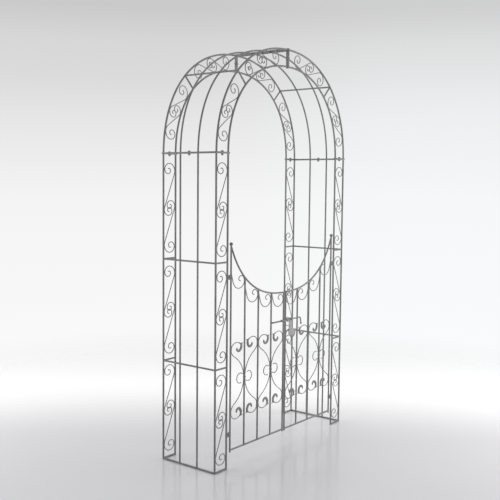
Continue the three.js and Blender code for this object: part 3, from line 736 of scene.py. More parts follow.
def satin_paint(graph):
    """Mid-grey paint, cloudy and finely flaked, with orange peel, small rubbed spots, and upward faces
    painted lighter: partly dust, partly painted light from above.
    """
    cloud = noise(graph, CLOUD_SCALE)
    rubbed = patches(graph, **RUBBED_SPOTS)
    # Upward faces painted lighter: partly dust, partly painted light from above
    dust_and_top_light = ramp(graph, facing_up(graph), *DUST_AND_TOP_LIGHT_SLOPE) * patches(graph, **DUST_AND_TOP_LIGHT_PATCHES)
    tone = graph.mix(ramp(graph, cloud, *CLOUD_FADE), PAINT_DARK, PAINT_LIGHT)
    tone = graph.mix(patches(graph, **FLAKES) * FLAKE_SHARE, tone, FLAKE_TONE)
    tone = graph.mix(dust_and_top_light * DUST_AND_TOP_LIGHT_SHARE, tone, DUST_AND_TOP_LIGHT_TONE)
    tone = graph.mix(rubbed * RUBBED_SHARE, tone, BARE_STEEL)
    return {
        "Base Color": tone,
        "Metallic": PAINT_METALLIC + rubbed * RUBBED_METALLIC,
        "Roughness": PAINT_ROUGHNESS + cloud * CLOUD_ROUGHNESS + dust_and_top_light * DUST_ROUGHNESS,
        "Normal": bump(graph, noise(graph, **ORANGE_PEEL), **PEEL_BUMP),
    }


# Plated steel
ZINC_DARK = grey(118)
ZINC_LIGHT = grey(158)
ZINC_METALLIC = 0.8
ZINC_ROUGHNESS = 0.38
ZINC_CLOUDS = {"scale": 160.0, "detail": 4.0}
STAIN_TONE = grey(92, (1, 0.98, 0.94))
STAINS = {"scale": 70.0, "detail": 5.0, "roughness": 0.7, "fade": (0.5, 0.75)}
STAIN_SHARE = 0.4
STAIN_ROUGHNESS = 0.25
ZINC_GRAIN_SCALE = 800.0
ZINC_BUMP = {"strength": 0.3, "depth": 0.0003}


def plated_steel(graph):
    """Dull, cloudy zinc with a fine grain and darker stains."""
    stain = patches(graph, **STAINS)
    tone = graph.mix(noise(graph, **ZINC_CLOUDS), ZINC_DARK, ZINC_LIGHT)
    return {
        "Base Color": graph.mix(stain * STAIN_SHARE, tone, STAIN_TONE),
        "Metallic": ZINC_METALLIC,
        "Roughness": ZINC_ROUGHNESS + stain * STAIN_ROUGHNESS,
        "Normal": bump(graph, noise(graph, ZINC_GRAIN_SCALE), **ZINC_BUMP),
    }


# Galvanised sheet
SHEET_DARK = grey(148)
SHEET_LIGHT = grey(170, (0.99, 0.99, 1))
SHEET_METALLIC = 0.55
SHEET_ROUGHNESS = 0.36
SPANGLE_SCALE = 170.0
SPANGLE_ROUGHNESS = 0.12
GRIME_TONE = grey(132, (1, 0.98, 0.95))
GRIME = {"scale": 60.0, "detail": 5.0, "roughness": 0.7, "fade": (0.52, 0.8)}
GRIME_SHARE = 0.35
GRIME_ROUGHNESS = 0.2
SHEET_GRAIN_SCALE = 600.0
SHEET_BUMP = {"strength": 0.2, "depth": 0.0003}


def galvanised_sheet(graph):
    """Light grey sheet with the spangle of its zinc and patches of faint grime."""
    place = graph.node("ShaderNodeTexCoord", out="Object")
    cells = graph.node("ShaderNodeTexVoronoi", {}, {"Vector": place, "Scale": SPANGLE_SCALE}, out="Color")
    spangle = graph.node("ShaderNodeSeparateColor", {}, {0: cells})
    grime = patches(graph, **GRIME)
    tone = graph.mix(spangle, SHEET_DARK, SHEET_LIGHT)
    return {
        "Base Color": graph.mix(grime * GRIME_SHARE, tone, GRIME_TONE),
        "Metallic": SHEET_METALLIC,
        "Roughness": SHEET_ROUGHNESS + spangle * SPANGLE_ROUGHNESS + grime * GRIME_ROUGHNESS,
        "Normal": bump(graph, noise(graph, SHEET_GRAIN_SCALE), **SHEET_BUMP),
    }


FINISHES = {
    "grey_paint": surface("satin_grey_paint", satin_paint),
    "plated_fasteners": surface("dull_zinc_plate", plated_steel),
    "galvanised_plate": surface("spangled_sheet", galvanised_sheet),
}


# Scrolls

def curl(centre, radius, end_radius, start, turn):
    """Points of a curl as (across, along): its radius falls from its start to its eye."""
    turned = math.radians(turn)
    lead = math.atan(CURL_EXPONENT * (radius - end_radius) / (turned * radius))
    line = []
    for share in evenly(0, 1, round(turn / CURL_STEP)):
        reach = end_radius + (radius - end_radius) * (1 - share) ** CURL_EXPONENT
        angle = start - lead + turned * share
        line.append((centre[0] + reach * math.cos(angle), centre[1] + reach * math.sin(angle)))
    return line


def scroll(wide_centre, wide, tight_centre, tight):
    """An S of two curls, joined by the straight line that touches both."""
    across = tight_centre[0] - wide_centre[0]
    along = tight_centre[1] - wide_centre[1]
    lean = math.asin((wide + tight) / math.hypot(across, along))
    leave = math.atan2(along, across) + math.pi / 2 - lean
    first = curl(wide_centre, wide, WIDE_CURL_END, leave, WIDE_CURL_TURN)
    second = curl(tight_centre, tight, TIGHT_CURL_END, leave + math.pi, TIGHT_CURL_TURN)
    return first[::-1] + second


def scroll_pair(wide, tight, rise):
    """The two scrolls of a section, pressed between the outer and the inner bar."""
    outer = POST + WIRE - WELD_SINK
    inner = FACE_WIDTH - POST - WIRE + WELD_SINK
    pair = [
        scroll((inner - wide, rise), wide, (outer + tight, -EYE_OFFSET), tight),
        scroll((outer + wide, -rise), wide, (inner - tight, EYE_OFFSET), tight),
    ]
    fitted = []
    for line in pair:
        least = min(u for u, _ in line)
        stretch = (inner - outer) / (max(u for u, _ in line) - least)
        fitted.append([(outer + (u - least) * stretch, v) for u, v in line])
    return fitted


def add_scrolls(work, sizes, place):
    """Both scrolls of a section, welded where they touch; place turns (across, along) into a point."""
    for line in scroll_pair(**sizes):
        work.rounded([place(u, v) for u, v in line], WIRE)
        for way, (u, v) in ((-1, min(line)), (1, max(line))):
            work.weld(place(u + way * SCROLL_BEAD_OFFSET, v), SCROLL_BEAD)


def add_short_rail(work, place):
    """A rail between the outer and the inner bar of a face; place turns an inset into a point."""
    work.bar([place(0), place(FACE_WIDTH)], RAIL)
    for inset in (POST_BEAD_INSET, FACE_WIDTH - POST_BEAD_INSET):
        work.weld(place(inset), POST_BEAD)


# Pillars

def pillar_at(side, inset, y, z):
    """A place of a pillar: inset is its distance from the outer posts, towards the passage."""
    return Vector((side * (HALF_WIDTH - inset), y, z))


def add_upright(work, side, inset, y, radius, low=0):
    work.standing(pillar_at(side, inset, y, low), pillar_at(side, inset, y, PILLAR_TOP), radius)


def make_side_panel(name, side):
    panel = Ironwork()
    for y in FACES.values():
        add_upright(panel, side, 0, y, POST)
    for y in SIDE_RODS:
        add_upright(panel, side, 0, y, ROD, LEVELS[0])
    for z in LEVELS:
        panel.bar([pillar_at(side, 0, y, z) for y in FACES.values()], RAIL)
        for y in FACES.values():
            panel.weld(pillar_at(side, 0, y - math.copysign(POST_BEAD_INSET, y), z), POST_BEAD)
        for y in SIDE_RODS:
            panel.weld(pillar_at(side, 0, y, z), CROSSING_BEAD)
    panel.make(f"{name}_side_bars", f"{name}_side_panel")


def make_pillar(name, side):
    make_side_panel(name, side)
    for face, y in FACES.items():
        work = Ironwork()
        add_upright(work, side, FACE_WIDTH, y, POST)
        for z in LEVELS:
            add_short_rail(work, lambda inset: pillar_at(side, inset, y, z))
            middle = z + PILLAR_PAIR_LIFT
            add_scrolls(work, PILLAR_SCROLL, lambda u, v: pillar_at(side, u, y, middle + v))
        work.make(f"{name}_{face}_scrollwork", f"{name}_{face}_scroll_panel", sides=WIRE_SIDES)


def springing_places(side):
    """The middles of the bolts between a pillar and the arch."""
    places = {face: pillar_at(side, FACE_WIDTH / 2, y, SPRINGING) for face, y in FACES.items()}
    return {**places, "side": pillar_at(side, 0, 0, SPRINGING)}


def band_outline(width):
    """The U of a flat strip as (inset, y), along the outer bars and across both faces."""
    half = width / 2
    end = FACE_WIDTH + half
    outer = HALF_DEPTH + half
    inner = HALF_DEPTH - half
    return [
        (-half, -outer), (end, -outer), (end, -inner), (half, -inner),
        (half, inner), (end, inner), (end, outer), (-half, outer),
    ]


def make_level_bands(name, side):
    """The two U strips that meet at the springing, one on the pillar and one under the arch."""
    outline = [(side * (HALF_WIDTH - inset), y) for inset, y in band_outline(STRIP_WIDTH)]
    holes = [(place.x, place.y, BOLT_RADIUS + SEAT) for place in springing_places(side).values()]
    for way, piece, node in ((-1, "top_band", "top_strip"), (1, "foot_band", "arch_foot_strip")):
        level = Matrix.Translation((0, 0, SPRINGING + way * STRIP_THICKNESS / 2))
        band = Solid()
        band.sheet(outline, STRIP_THICKNESS, level, holes)
        band.make(f"{name}_{piece}", f"{name}_{node}")


# Arch

def arch_at(side, inset, angle, y):
    """A point of the arch, so far inside its outer line, at an angle about its centre from the springing."""
    across = (math.cos(angle) / HALF_WIDTH) ** ARCH_EXPONENT
    up = (math.sin(angle) / ARCH_RISE) ** ARCH_EXPONENT
    radius = (across + up) ** (-1 / ARCH_EXPONENT) - inset
    return Vector((side * radius * math.cos(angle), y, ARCH_CENTRE + radius * math.sin(angle)))


def arch_line(side, inset, y):
    """The line of a bar along an arch half, from the strip at its foot to the one at its crown."""
    first = math.asin((ARCH_DROP + STRIP_THICKNESS) / (HALF_WIDTH - inset))
    last = math.pi / 2 - math.asin(STRIP_THICKNESS / (ARCH_RISE - inset))
    return [arch_at(side, inset, angle, y) for angle in evenly(first, last, ARC_STEPS)]


def make_roof(name, side):
    roof = Ironwork()
    for y in FACES.values():
        roof.bar(arch_line(side, 0, y), POST)
        roof.weld(arch_at(side, 0, HAUNCH, y), HAUNCH_BEAD)
    for y in SIDE_RODS:
        roof.bar(arch_line(side, 0, y), ROD)
        roof.weld(arch_at(side, 0, HAUNCH, y), CROSSING_BEAD)
    roof.bar([arch_at(side, 0, HAUNCH, y) for y in FACES.values()], RAIL)
    roof.make(f"{name}_roof_bars", f"{name}_roof_panel")


def make_arch_half(name, side):
    make_roof(name, side)
    for face, y in FACES.items():
        work = Ironwork()
        work.bar(arch_line(side, FACE_WIDTH, y), POST)
        add_short_rail(work, lambda inset: arch_at(side, inset, HAUNCH, y))
        for share in ARCH_PAIR_TURN_SHARES:
            start = share * math.pi / 2 - math.copysign(ARCH_PAIR_SHIFT, side * y) / ARCH_MIDDLE
            add_scrolls(work, ARCH_SCROLL, lambda u, v: arch_at(side, u, start + v / ARCH_MIDDLE, y))
        work.make(f"{name}_arch_{face}_scrollwork", f"{name}_arch_{face}_scroll_panel", sides=WIRE_SIDES)
    make_crown_band(name, side)


def crown_places():
    """The middles of the bolts between the arch's two halves."""
    places = {face: Vector((0, y, CROWN_TOP - FACE_WIDTH / 2)) for face, y in FACES.items()}
    return {**places, "top": Vector((0, 0, CROWN_TOP))}


def make_crown_band(name, side):
    """The U strip at the end of an arch half, which stands upright against the other half's."""
    outline = [(y, CROWN_TOP - inset) for inset, y in band_outline(CROWN_STRIP_WIDTH)]
    holes = [(place.y, place.z, BOLT_RADIUS + SEAT) for place in crown_places().values()]
    stand = Matrix(((0, 0, 1, side * STRIP_THICKNESS / 2), (1, 0, 0, 0), (0, 1, 0, 0), (0, 0, 0, 1)))
    band = Solid()
    band.sheet(outline, STRIP_THICKNESS, stand, holes)
    band.make(f"{name}_crown_band", f"{name}_arch_crown_strip")


# Bolts

def make_bolt_and_nut(stem, matrix):
    """A bolt through two strips with its head on the +Z side of the place, and its nut on the other."""
    head = STRIP_THICKNESS + SEAT
    nut_low = -head - NUT_HEIGHT
    low = -STRIP_THICKNESS - NUT_HEIGHT - BOLT_OVERRUN
    root = BOLT_RADIUS - THREAD_DEPTH
    profile = [(0, low), (root - THREAD_DEPTH, low)]
    height = low + THREAD_DEPTH
    while height < nut_low - THREAD_PITCH / 2:
        profile += [(root, height), (BOLT_RADIUS, height + THREAD_PITCH / 2)]
        height += THREAD_PITCH
    profile += [(root, nut_low), (root, head + SEAT), (0, head + SEAT)]
    bolt = Solid()
    bolt.hexagon(BOLT_HEAD_RADIUS, BOLT_HEAD_HEIGHT, matrix @ Matrix.Translation((0, 0, head)))
    bolt.turned(profile, matrix)
    bolt.make(f"{stem}_hex_bolt", f"{stem}_bolt", slot="plated_fasteners")
    flipped = Matrix.Translation((0, 0, -head)) @ Matrix.Rotation(math.pi, 4, "X")
    nut = Solid()
    nut.hexagon(BOLT_HEAD_RADIUS, NUT_HEIGHT, matrix @ flipped)
    nut.make(f"{stem}_hex_nut", f"{stem}_nut", slot="plated_fasteners")


def make_bolts():
    for name, side in SIDES.items():
        for where, place in springing_places(side).items():
            make_bolt_and_nut(f"{name}_{where}_springing", Matrix.Translation(place))
    sideways = Matrix.Rotation(-math.pi / 2, 4, "Y")
    for where, place in crown_places().items():
        make_bolt_and_nut(f"crown_{where}", Matrix.Translation(place) @ sideways)


# Gate

def gate_at(side, x, z, y=0.0):
    """A place of the gate: x is its distance from the middle, on one side."""
    return Vector((side * x, -HALF_DEPTH + y, z))


def crest_height(x):
    """Height of the crest rail at a distance from the middle of the gate."""
    share = min(abs(x) / CREST_SPAN, 1)
    return CREST_LOW + CREST_RISE * (1 - (1 - share ** CREST_EXPONENT) ** (1 / CREST_EXPONENT))


def crest_line(side):
    """The crest rail from its end at the middle, along its curve and level into the hinge stile."""
    power = 2 / CREST_EXPONENT
    start = math.asin(((MEETING_STILE - STILE) / CREST_SPAN) ** (1 / power))
    end = math.acos(((CREST_LOW + CREST_RISE - CREST_END + GATE_RAIL) / CREST_RISE) ** (1 / power))
    line = []
    for angle in evenly(start, end, CREST_STEPS):
        height = CREST_LOW + CREST_RISE * (1 - math.cos(angle) ** power)
        line.append(gate_at(side, CREST_SPAN * math.sin(angle) ** power, height))
    return [*line, gate_at(side, HINGE_STILE, CREST_END)]


def make_crest_rail(name, side):
    crest = Ironwork()
    crest.rounded(crest_line(side), GATE_RAIL, end=False)
    crest.weld(gate_at(side, HINGE_STILE - STILE, CREST_END), STILE)
    crest.make(f"{name}_crest_rail", f"{name}_gate_top_rail", f"{name}_leaf")


def make_meeting_bar(name, side):
    meeting = Ironwork()
    foot = gate_at(side, MEETING_STILE, STILE_LOW)
    head = gate_at(side, MEETING_STILE, crest_height(MEETING_STILE) - MEETING_BEAD_DROP)
    meeting.standing(foot, head, STILE)
    meeting.weld(head, MEETING_BEAD)
    meeting.make(f"{name}_meeting_bar", f"{name}_gate_meeting_stile", f"{name}_leaf")


def hook_line(side, outer, inner, outer_reach, inner_reach):
    """A hook between two bars, as high as its curl fits under the crest rail."""
    start = outer - outer_reach
    end = inner + inner_reach
    spots = [(start + (end - start) * u, v * HOOK_HEIGHT) for u, v in HOOK_SHARES]
    curled = [spot for spot, (u, _) in zip(spots, HOOK_SHARES) if u >= HOOK_CURL_SHARE]
    low = min(crest_height(x) - rise for x, rise in curled) - GATE_RAIL - WIRE - HOOK_CLEARANCE
    return smooth([gate_at(side, x, low + rise) for x, rise in spots])


def make_gate_bars(name, side):
    """The bottom rail and the rods of a leaf, with a hook in each bay."""
    bars = Ironwork()
    bars.bar([gate_at(side, HINGE_STILE, GATE_BOTTOM), gate_at(side, MEETING_STILE, GATE_BOTTOM)], GATE_RAIL)
    for x in (HINGE_STILE - GATE_BEAD_INSET, MEETING_STILE + GATE_BEAD_INSET):
        bars.weld(gate_at(side, x, GATE_BOTTOM), GATE_BEAD)
    for x in GATE_RODS:
        bars.bar([gate_at(side, x, GATE_BOTTOM), gate_at(side, x, crest_height(x))], GATE_ROD)
        bars.weld(gate_at(side, x, GATE_BOTTOM), GATE_BEAD)
        bars.weld(gate_at(side, x, crest_height(x) - CREST_BEAD_DROP), CREST_BEAD)
    members = [HINGE_STILE, *GATE_RODS, MEETING_STILE]
    reaches = [STILE_REACH, *[ROD_REACH] * RODS_PER_LEAF, STILE_REACH]
    for outer, inner, outer_reach, inner_reach in zip(members, members[1:], reaches, reaches[1:]):
        line = hook_line(side, outer, inner, outer_reach, inner_reach)
        bars.rounded(line, WIRE)
        bars.weld(line[0], HOOK_FOOT_BEAD)
        bars.weld(max(line, key=lambda place: -side * place.x), HOOK_SIDE_BEAD)
    bars.make(f"{name}_gate_bars", f"{name}_gate_rods", f"{name}_leaf", sides=WIRE_SIDES)


def make_leaf(name, side):
    make_crest_rail(name, side)
    make_hinge_bar(name, side)
    make_hinge_lugs(name, side)
    make_finial(name, side)
    make_meeting_bar(name, side)
    make_gate_bars(name, side)
    stile_side = BAY - STILE_REACH - WELD_SINK
    rod_side = BAY - GATE_ROD - WIRE
    make_heart(name, "outer", side, GATE_RODS[0], (stile_side, rod_side))
    make_heart(name, "inner", side, GATE_RODS[-1], (rod_side, stile_side))


# Hearts

def add_lobe(work, spot, outward):
    """A lobe with its leaf and spike, welded where it touches; spot turns two shares into a point."""
    work.rounded(smooth([spot(u, v) for u, v in LOBE_SHARES]), WIRE)
    work.rounded(smooth([spot(u, v) for u, v in LEAF_SHARES]), spread(LEAF_RADII), LEAF_FLATNESS)
    root, tip = spot(*SPIKE_ROOT_SHARES), spot(*SPIKE_TIP_SHARES)
    work.bar([root, root.lerp(tip, 0.5), tip], SPIKE_RADII, LEAF_FLATNESS)
    work.weld(spot(*LOBE_TOUCH_SHARES) + outward * LOBE_BEAD_OFFSET, LOBE_BEAD)


def add_ring(work, place, way, outward):
    """An open ring that is welded to the collar by its root; place turns (across, up) into a point."""
    root = place(COLLAR_RADIUS - WIRE, way * RING_RADIUS * RING_ROOT_SHARE)
    arc = []
    for turn in range(0, RING_TURN, RING_STEP):
        angle = math.radians(RING_START - turn)
        arc.append(place(RING_OFFSET + RING_RADIUS * math.cos(angle), way * RING_RADIUS * math.sin(angle)))
    run_in = smooth([root, *arc[:2]])[:-SMOOTH_STEPS]
    work.rounded([*run_in, *arc[1:]], WIRE, start=False)
    work.weld(root + outward * WIRE, RING_BEAD)


def add_collar(piece, side, rod):
    """Three ridges on a sleeve round the rod."""
    waist = COLLAR_RADIUS - COLLAR_LIP
    shoulder = COLLAR_RADIUS - COLLAR_LIP / 4
    profile = [(GATE_ROD, -COLLAR_HALF)]
    for low in (-COLLAR_HALF, -COLLAR_RIDGE / 2, COLLAR_HALF - COLLAR_RIDGE):
        high = low + COLLAR_RIDGE
        profile += [
            (waist, low), (shoulder, low + COLLAR_LIP), (COLLAR_RADIUS, (low + high) / 2),
            (shoulder, high - COLLAR_LIP), (waist, high),
        ]
    profile.append((GATE_ROD, COLLAR_HALF))
    collar = Solid()
    collar.turned(profile, Matrix.Translation(gate_at(side, rod, HEART_HEIGHT)))
    collar.join_to(piece)


def make_heart(name, where, side, rod, reaches):
    """Lobes and rings about a collar on a rod; reaches are its outer and its inner width."""
    piece_name = f"{name}_{where}_heart"
    work = Ironwork(plane=-HALF_DEPTH)
    start = GATE_ROD + WIRE
    for way, reach in zip((1, -1), reaches):
        shift = UNEVEN_LOBES.get(piece_name, {}).get(way, 0)
        outward = Vector((side * way, 0, 0))

        def place(u, v):
            return gate_at(side, rod + way * u, HEART_HEIGHT + v)

        for rise in (-1, 1):
            def spot(u, v):
                lift = shift * v if way > 0 else rise * shift * v
                return place(start + (reach - start) * u, rise * v * LOBE_HEIGHT + lift)

            add_lobe(work, spot, outward)
        add_ring(work, place, way, outward)
    piece = work.make(piece_name, f"{name}_gate_{where}_heart", f"{name}_leaf", sides=WIRE_SIDES)
    add_collar(piece, side, rod)


# Hinges and finials

def make_hinge_bar(name, side):
    """The hinge stile with its two eyes."""
    stile = Ironwork()
    stile.standing(gate_at(side, HINGE_STILE, STILE_LOW), gate_at(side, HINGE_STILE, STILE_TOP), STILE)
    piece = stile.make(f"{name}_hinge_bar", f"{name}_gate_hinge_stile", f"{name}_leaf")
    bore = PIN + SEAT
    knuckle = tube_profile(KNUCKLE, bore, KNUCKLE_HEIGHT)
    eyes = Solid()
    for height in HINGE_HEIGHTS.values():
        base = height + SEAT
        eyes.turned(knuckle, Matrix.Translation(gate_at(side, HINGE_AXIS, base)))
        near = gate_at(side, HINGE_AXIS - bore - EDGE, base + EDGE, -WEB / 2)
        far = gate_at(side, HINGE_STILE, base + KNUCKLE_HEIGHT - EDGE, WEB / 2)
        eyes.block(near, far)
    eyes.join_to(piece)


def make_hinge_lugs(name, side):
    """The brackets on the pillar, each a lug with an upright pin."""
    pin_top = LUG_HEIGHT + KNUCKLE_HEIGHT + PIN_OVERRUN
    profile = tube_profile(LUG, 0, LUG_HEIGHT)[:-1] + [(PIN, LUG_HEIGHT)]
    profile += [(PIN * out, pin_top - PIN * drop) for out, drop in PIN_TIP_SHARES]
    profile.append((0, pin_top))
    for where, height in HINGE_HEIGHTS.items():
        base = height - LUG_HEIGHT
        bracket = Solid()
        bracket.turned(profile, Matrix.Translation(gate_at(side, HINGE_AXIS, base)))
        near = gate_at(side, HINGE_AXIS + LUG / 2, base + EDGE, -WEB / 2)
        far = gate_at(side, HINGE_AXIS + HINGE_OFFSET - LUG_SINK, height - EDGE, WEB / 2)
        bracket.block(near, far)
        bracket.make(f"{name}_{where}_hinge_lug", f"{name}_{where}_hinge_bracket")


def make_finial(name, side):
    """A ball on a short neck with a flared foot."""
    lift = FINIAL_NECK_HEIGHT + math.sqrt(FINIAL_RADIUS ** 2 - FINIAL_NECK ** 2)
    low = -math.acos(FINIAL_NECK / FINIAL_RADIUS)
    profile = [(0, 0), *((FINIAL_NECK + EDGE * out, EDGE * up) for out, up in FINIAL_FOOT_SHARES)]
    for angle in evenly(low, math.pi / 2, BALL_STEPS)[:-1]:
        profile.append((FINIAL_RADIUS * math.cos(angle), lift + FINIAL_RADIUS * math.sin(angle)))
    profile.append((0, lift + FINIAL_RADIUS))
    ball = Solid()
    ball.turned(profile, Matrix.Translation(gate_at(side, HINGE_STILE, STILE_TOP + SEAT)))
    ball.make(f"{name}_finial_ball", f"{name}_gate_finial", f"{name}_leaf")


# Latch

def along_latch(side, x):
    """Lays a shape that is turned about z along the latch, away from the middle of the gate."""
    place = gate_at(side, x, LATCH_HEIGHT, -LATCH_FORWARD)
    return Matrix.Translation(place) @ Matrix.Rotation(side * math.pi / 2, 4, "Y")


def make_keeper():
    """A tube with a ring, on a pad at each bar that carries it."""
    side = SIDES["left"]
    last_rod = GATE_RODS[-1]
    end = MEETING_STILE - KEEPER_REACH
    ring_from = MEETING_STILE + KEEPER_RING_OFFSET - KEEPER_RING_WIDTH / 2
    front = -LATCH_FORWARD + KEEPER - EDGE
    keeper = Solid()
    keeper.turned(tube_profile(KEEPER, TONGUE_BORE, last_rod - end), along_latch(side, end))
    keeper.turned(tube_profile(KEEPER_RING, KEEPER - EDGE, KEEPER_RING_WIDTH), along_latch(side, ring_from))
    for x, radius in ((MEETING_STILE, STILE), (last_rod, GATE_ROD)):
        low = gate_at(side, x - PAD_WIDTH / 2, LATCH_HEIGHT - PAD_HEIGHT / 2, front)
        high = gate_at(side, x + PAD_WIDTH / 2, LATCH_HEIGHT + PAD_HEIGHT / 2, -radius * PAD_DEPTH_SHARE)
        keeper.block(low, high)
    keeper.make("latch_keeper_tube", "gate_latch_keeper", "left_leaf")


def make_slide_bolt():
    """A rod with a narrow tongue at one end, bent down to its knob at the other."""
    side = SIDES["right"]
    tip = MEETING_STILE - TONGUE_REACH
    shoulder = tip + TONGUE_LENGTH
    bend = MEETING_STILE + HANDLE_OFFSET

    def at(x, drop=0):
        return gate_at(side, x, LATCH_HEIGHT - drop, -LATCH_FORWARD)

    corner = at(bend)
    knob_centre = at(bend + HANDLE_LEAN, HANDLE_DROP)
    arc = rounded_corner(at(tip), corner, knob_centre, HANDLE_BEND, BEND_STEPS)
    places = [at(tip), at(tip + EDGE), at(shoulder), at(shoulder + EDGE), *arc]
    radii = [TONGUE - EDGE, TONGUE, TONGUE, LATCH_ROD, *[LATCH_ROD] * len(arc)]
    drop_way = (knob_centre - corner).normalized()
    for angle in evenly(math.asin(KNOB_NECK / KNOB), math.pi, BALL_STEPS):
        places.append(knob_centre - drop_way * KNOB * math.cos(angle))
        radii.append(max(KNOB * math.sin(angle), KNOB * KNOB_TIP_SHARE))
    rod = Ironwork()
    rod.bar(places, radii)
    rod.make("latch_slide_rod", "gate_slide_bolt", "latch_bolt")


def plate_outline():
    """The lock plate: a neck down from the strap, and a wider body off its middle, with round corners."""
    neck = MEETING_STILE + PLATE_NECK_OFFSET
    middle = neck + PLATE_BODY_SHIFT
    waist = LATCH_HEIGHT - PLATE_NECK_HEIGHT
    rows = [
        (neck, PLATE_NECK_WIDTH / 2, LATCH_HEIGHT + STRAP_HEIGHT / 2, EDGE),
        (neck, PLATE_NECK_WIDTH / 2, waist, PLATE_CORNER / 2),
        (middle, PLATE_BODY_WIDTH / 2, waist - PLATE_CORNER, PLATE_CORNER / 2),
        (middle, PLATE_BODY_WIDTH / 2, waist - PLATE_BODY_HEIGHT, PLATE_CORNER),
    ]
    corners = [(Vector((centre - half, z)), reach) for centre, half, z, reach in rows]
    corners += [(Vector((centre + half, z)), reach) for centre, half, z, reach in reversed(rows)]
    outline = []
    for i, (corner, reach) in enumerate(corners):
        before = corners[i - 1][0]
        after = corners[(i + 1) % len(corners)][0]
        outline += rounded_corner(before, corner, after, reach, DOME_STEPS)
    return outline


def make_lock_plate():
    """The plate on the leaf's front, with a strap and the two eyes that guide the bolt."""
    side = SIDES["right"]
    neck = MEETING_STILE + PLATE_NECK_OFFSET
    back = -STILE - SEAT
    layer = -HALF_DEPTH + back - PLATE / 2
    stand = Matrix(((side, 0, 0, 0), (0, 0, 1, layer), (0, 1, 0, 0), (0, 0, 0, 1)))
    plate = Solid()
    plate.sheet(plate_outline(), PLATE, stand, edge=EDGE)
    strap_from = MEETING_STILE - PAD_WIDTH / 2
    strap_to = neck - PLATE_NECK_WIDTH / 2 + EDGE
    plate.block(gate_at(side, strap_from, LATCH_HEIGHT - STRAP_HEIGHT / 2, back - PLATE + SEAT),
                gate_at(side, strap_to, LATCH_HEIGHT + STRAP_HEIGHT / 2, back - SEAT))
    for x, bore in ((MEETING_STILE, TONGUE_BORE), (neck, ROD_BORE)):
        plate.turned(tube_profile(EYE_RADIUS, bore, EYE_WIDTH), along_latch(side, x - EYE_WIDTH / 2))
    plate.make("latch_back_plate", "gate_lock_plate", "right_leaf", "galvanised_plate")


# Floor, backdrop, light and camera, in metres and degrees; a backdrop tone is a height of the line of
# sight, from -1 to 1, and a screen value

CAMERA_PLACE = (-3.8022, -2.9042, 1.5592)
CAMERA_HEADING = 51.949
CAMERA_PITCH = 4.808
CAMERA_ROLL = 0.534
CAMERA_LENS = 57.648
SENSOR = 36.0
HEADING = math.radians(CAMERA_HEADING)
FORWARD = (math.sin(HEADING), math.cos(HEADING), 0)
RIGHTWARD = (math.cos(HEADING), -math.sin(HEADING), 0)
FLOOR_RADIUS = 4.5
FLOOR_SIDES = 96
FLOOR_FADE = (1.3, 4.0)
FLOOR_TONE = grey(199, (1, 0.995, 1.03))
FLOOR_GLOSS = {"Roughness": 0.2, "Coat Weight": 0.6, "Coat Roughness": 0.1}
# Painted light: the floor's colour turns lighter towards the cove, and it glows there though it is no lamp
PAINTED_COVE_LIGHT_TONE = grey(253)
PAINTED_COVE_LIGHT_REACH = (-0.1, 1.5)
PAINTED_COVE_GLOW = 0.1
BACKDROP_TONES = [
    (-0.26, 253), (-0.15, 248), (-0.02, 244), (0.077, 230),
    (0.125, 219), (0.167, 215), (0.206, 202), (0.4, 200),
]
BACKDROP_TINT = (1, 0.998, 1, 1)
GLOW_TONE = grey(252, (0.98, 1, 1.02))
GLOW_SPREAD = (-0.1, 0.2)
GLOW_HEIGHTS = (0.09, 0.2)
GLOW_LOW = 0.4
GLOW_FALL = 0.3
ROOM_LIGHT = grey(150)
SHOWING_RAYS = ("Is Camera Ray", "Is Glossy Ray", "Is Transmission Ray")
LAMP_TARGET = (0, 0, 1.1)
SIDE_LAMP_DISTANCE = 3.6
SIDE_LAMP_HEIGHT = 1.6
SIDE_LAMP_SIZE = (1.8, 2.6)
SIDE_LAMP_WATTS = {"left": 100, "right": 140}
TOP_LAMP_PLACE = (0.6, 0.8, 4.6)
TOP_LAMP_SIZE = (3.0, 3.0)
TOP_LAMP_WATTS = 100


def along(graph, place, way):
    """How far a place lies in a direction."""
    return graph.node("ShaderNodeVectorMath", {"operation": "DOT_PRODUCT"}, {0: place, 1: way}, out="Value")


def pale_floor(graph):
    """A smooth pale floor with painted light towards the cove: its colour is painted lighter there and it
    glows there, though it is no lamp; it fades out at its rim.
    """
    place = graph.node("ShaderNodeTexCoord", out="Object")
    far = graph.node("ShaderNodeVectorMath", {"operation": "LENGTH"}, {0: place}, out="Value")
    # Painted light: lighter colour and a glow towards the cove, along the camera's heading
    reach = ramp(graph, along(graph, place, FORWARD), *PAINTED_COVE_LIGHT_REACH)
    return {
        "Base Color": graph.mix(reach, FLOOR_TONE, PAINTED_COVE_LIGHT_TONE),
        "Alpha": 1 - ramp(graph, far, *FLOOR_FADE),
        "Emission Color": graph.mix(reach, grey(0), PAINTED_COVE_LIGHT_TONE),
        "Emission Strength": PAINTED_COVE_GLOW,
        **FLOOR_GLOSS,
    }


def make_floor():
    disc = bmesh.new()
    bmesh.ops.create_circle(disc, cap_ends=True, segments=FLOOR_SIDES, radius=FLOOR_RADIUS)
    mesh = bpy.data.meshes.new("studio_floor")
    disc.to_mesh(mesh)
    disc.free()
    mesh.materials.append(surface("pale_floor", pale_floor))
    put_in_scene("studio_floor", mesh)


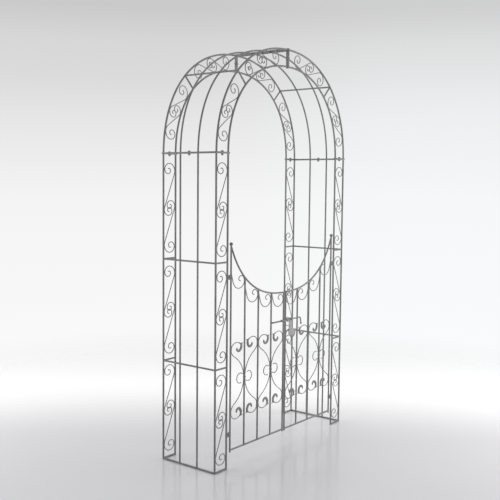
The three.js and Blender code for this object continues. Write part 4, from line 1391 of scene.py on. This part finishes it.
def backdrop(graph, way):
    """The wall's tone by the height of the line of sight, lighter towards the right."""
    height = graph.node("ShaderNodeSeparateXYZ", {}, {0: way}, out="Z")
    low, high = BACKDROP_TONES[0][0], BACKDROP_TONES[-1][0]
    share = graph.node("ShaderNodeMapRange", {}, {0: height, 1: low, 2: high})
    stops = [((place - low) / (high - low), grey(tone)) for place, tone in BACKDROP_TONES]
    level = graph.node("ShaderNodeValToRGB", {"stops": stops}, {0: share})
    tone = graph.mix(1.0, level, BACKDROP_TINT, "MULTIPLY")
    fall = GLOW_LOW - GLOW_FALL * ramp(graph, height, *GLOW_HEIGHTS)
    glow = ramp(graph, along(graph, way, RIGHTWARD), *GLOW_SPREAD) * fall
    return graph.mix(glow, tone, GLOW_TONE)


def make_world():
    """The backdrop where it shows, and even light from all round."""
    world = bpy.data.worlds.new("studio")
    bpy.context.scene.world = world
    world.use_nodes = True
    graph = Graph(world.node_tree)
    way = graph.node("ShaderNodeTexCoord", out="Generated")
    seen = graph.node("ShaderNodeBackground", {}, {"Color": backdrop(graph, way), "Strength": 1.0})
    light = graph.node("ShaderNodeBackground", {}, {"Color": ROOM_LIGHT, "Strength": 1.0})
    shows = sum(graph.node("ShaderNodeLightPath", out=ray) for ray in SHOWING_RAYS)
    both = graph.node("ShaderNodeMixShader", {}, {0: shows, 1: light, 2: seen})
    graph.node("ShaderNodeOutputWorld", {}, {"Surface": both})


def add_lamp(name, place, size, watts):
    lamp = bpy.data.lights.new(name, "AREA")
    lamp.shape = "RECTANGLE"
    lamp.size, lamp.size_y = size
    lamp.energy = watts
    holder = put_in_scene(name, lamp)
    holder.location = place
    holder.rotation_euler = (Vector(LAMP_TARGET) - Vector(place)).to_track_quat("-Z", "Y").to_euler()
    holder.visible_glossy = False


def make_lights():
    for name, side in SIDES.items():
        reach = side * SIDE_LAMP_DISTANCE
        place = (reach * RIGHTWARD[0], reach * RIGHTWARD[1], SIDE_LAMP_HEIGHT)
        add_lamp(f"{name}_softbox", place, SIDE_LAMP_SIZE, SIDE_LAMP_WATTS[name])
    add_lamp("top_softbox", TOP_LAMP_PLACE, TOP_LAMP_SIZE, TOP_LAMP_WATTS)


def make_camera():
    camera = bpy.data.cameras.new("camera")
    camera.sensor_width = SENSOR
    camera.lens = CAMERA_LENS
    holder = put_in_scene("camera", camera)
    holder.matrix_world = (
        Matrix.Translation(CAMERA_PLACE)
        @ Matrix.Rotation(-HEADING, 4, "Z")
        @ Matrix.Rotation(math.radians(90 - CAMERA_PITCH), 4, "X")
        @ Matrix.Rotation(math.radians(CAMERA_ROLL), 4, "Z")
    )
    bpy.context.scene.camera = holder


make_camera()
make_world()
make_lights()
make_floor()
for side_name, side_way in SIDES.items():
    make_pillar(side_name, side_way)
    make_level_bands(side_name, side_way)
    make_arch_half(side_name, side_way)
    make_leaf(side_name, side_way)
make_bolts()
make_keeper()
make_slide_bolt()
make_lock_plate()

bpy.context.scene.view_settings.view_transform = "Standard"
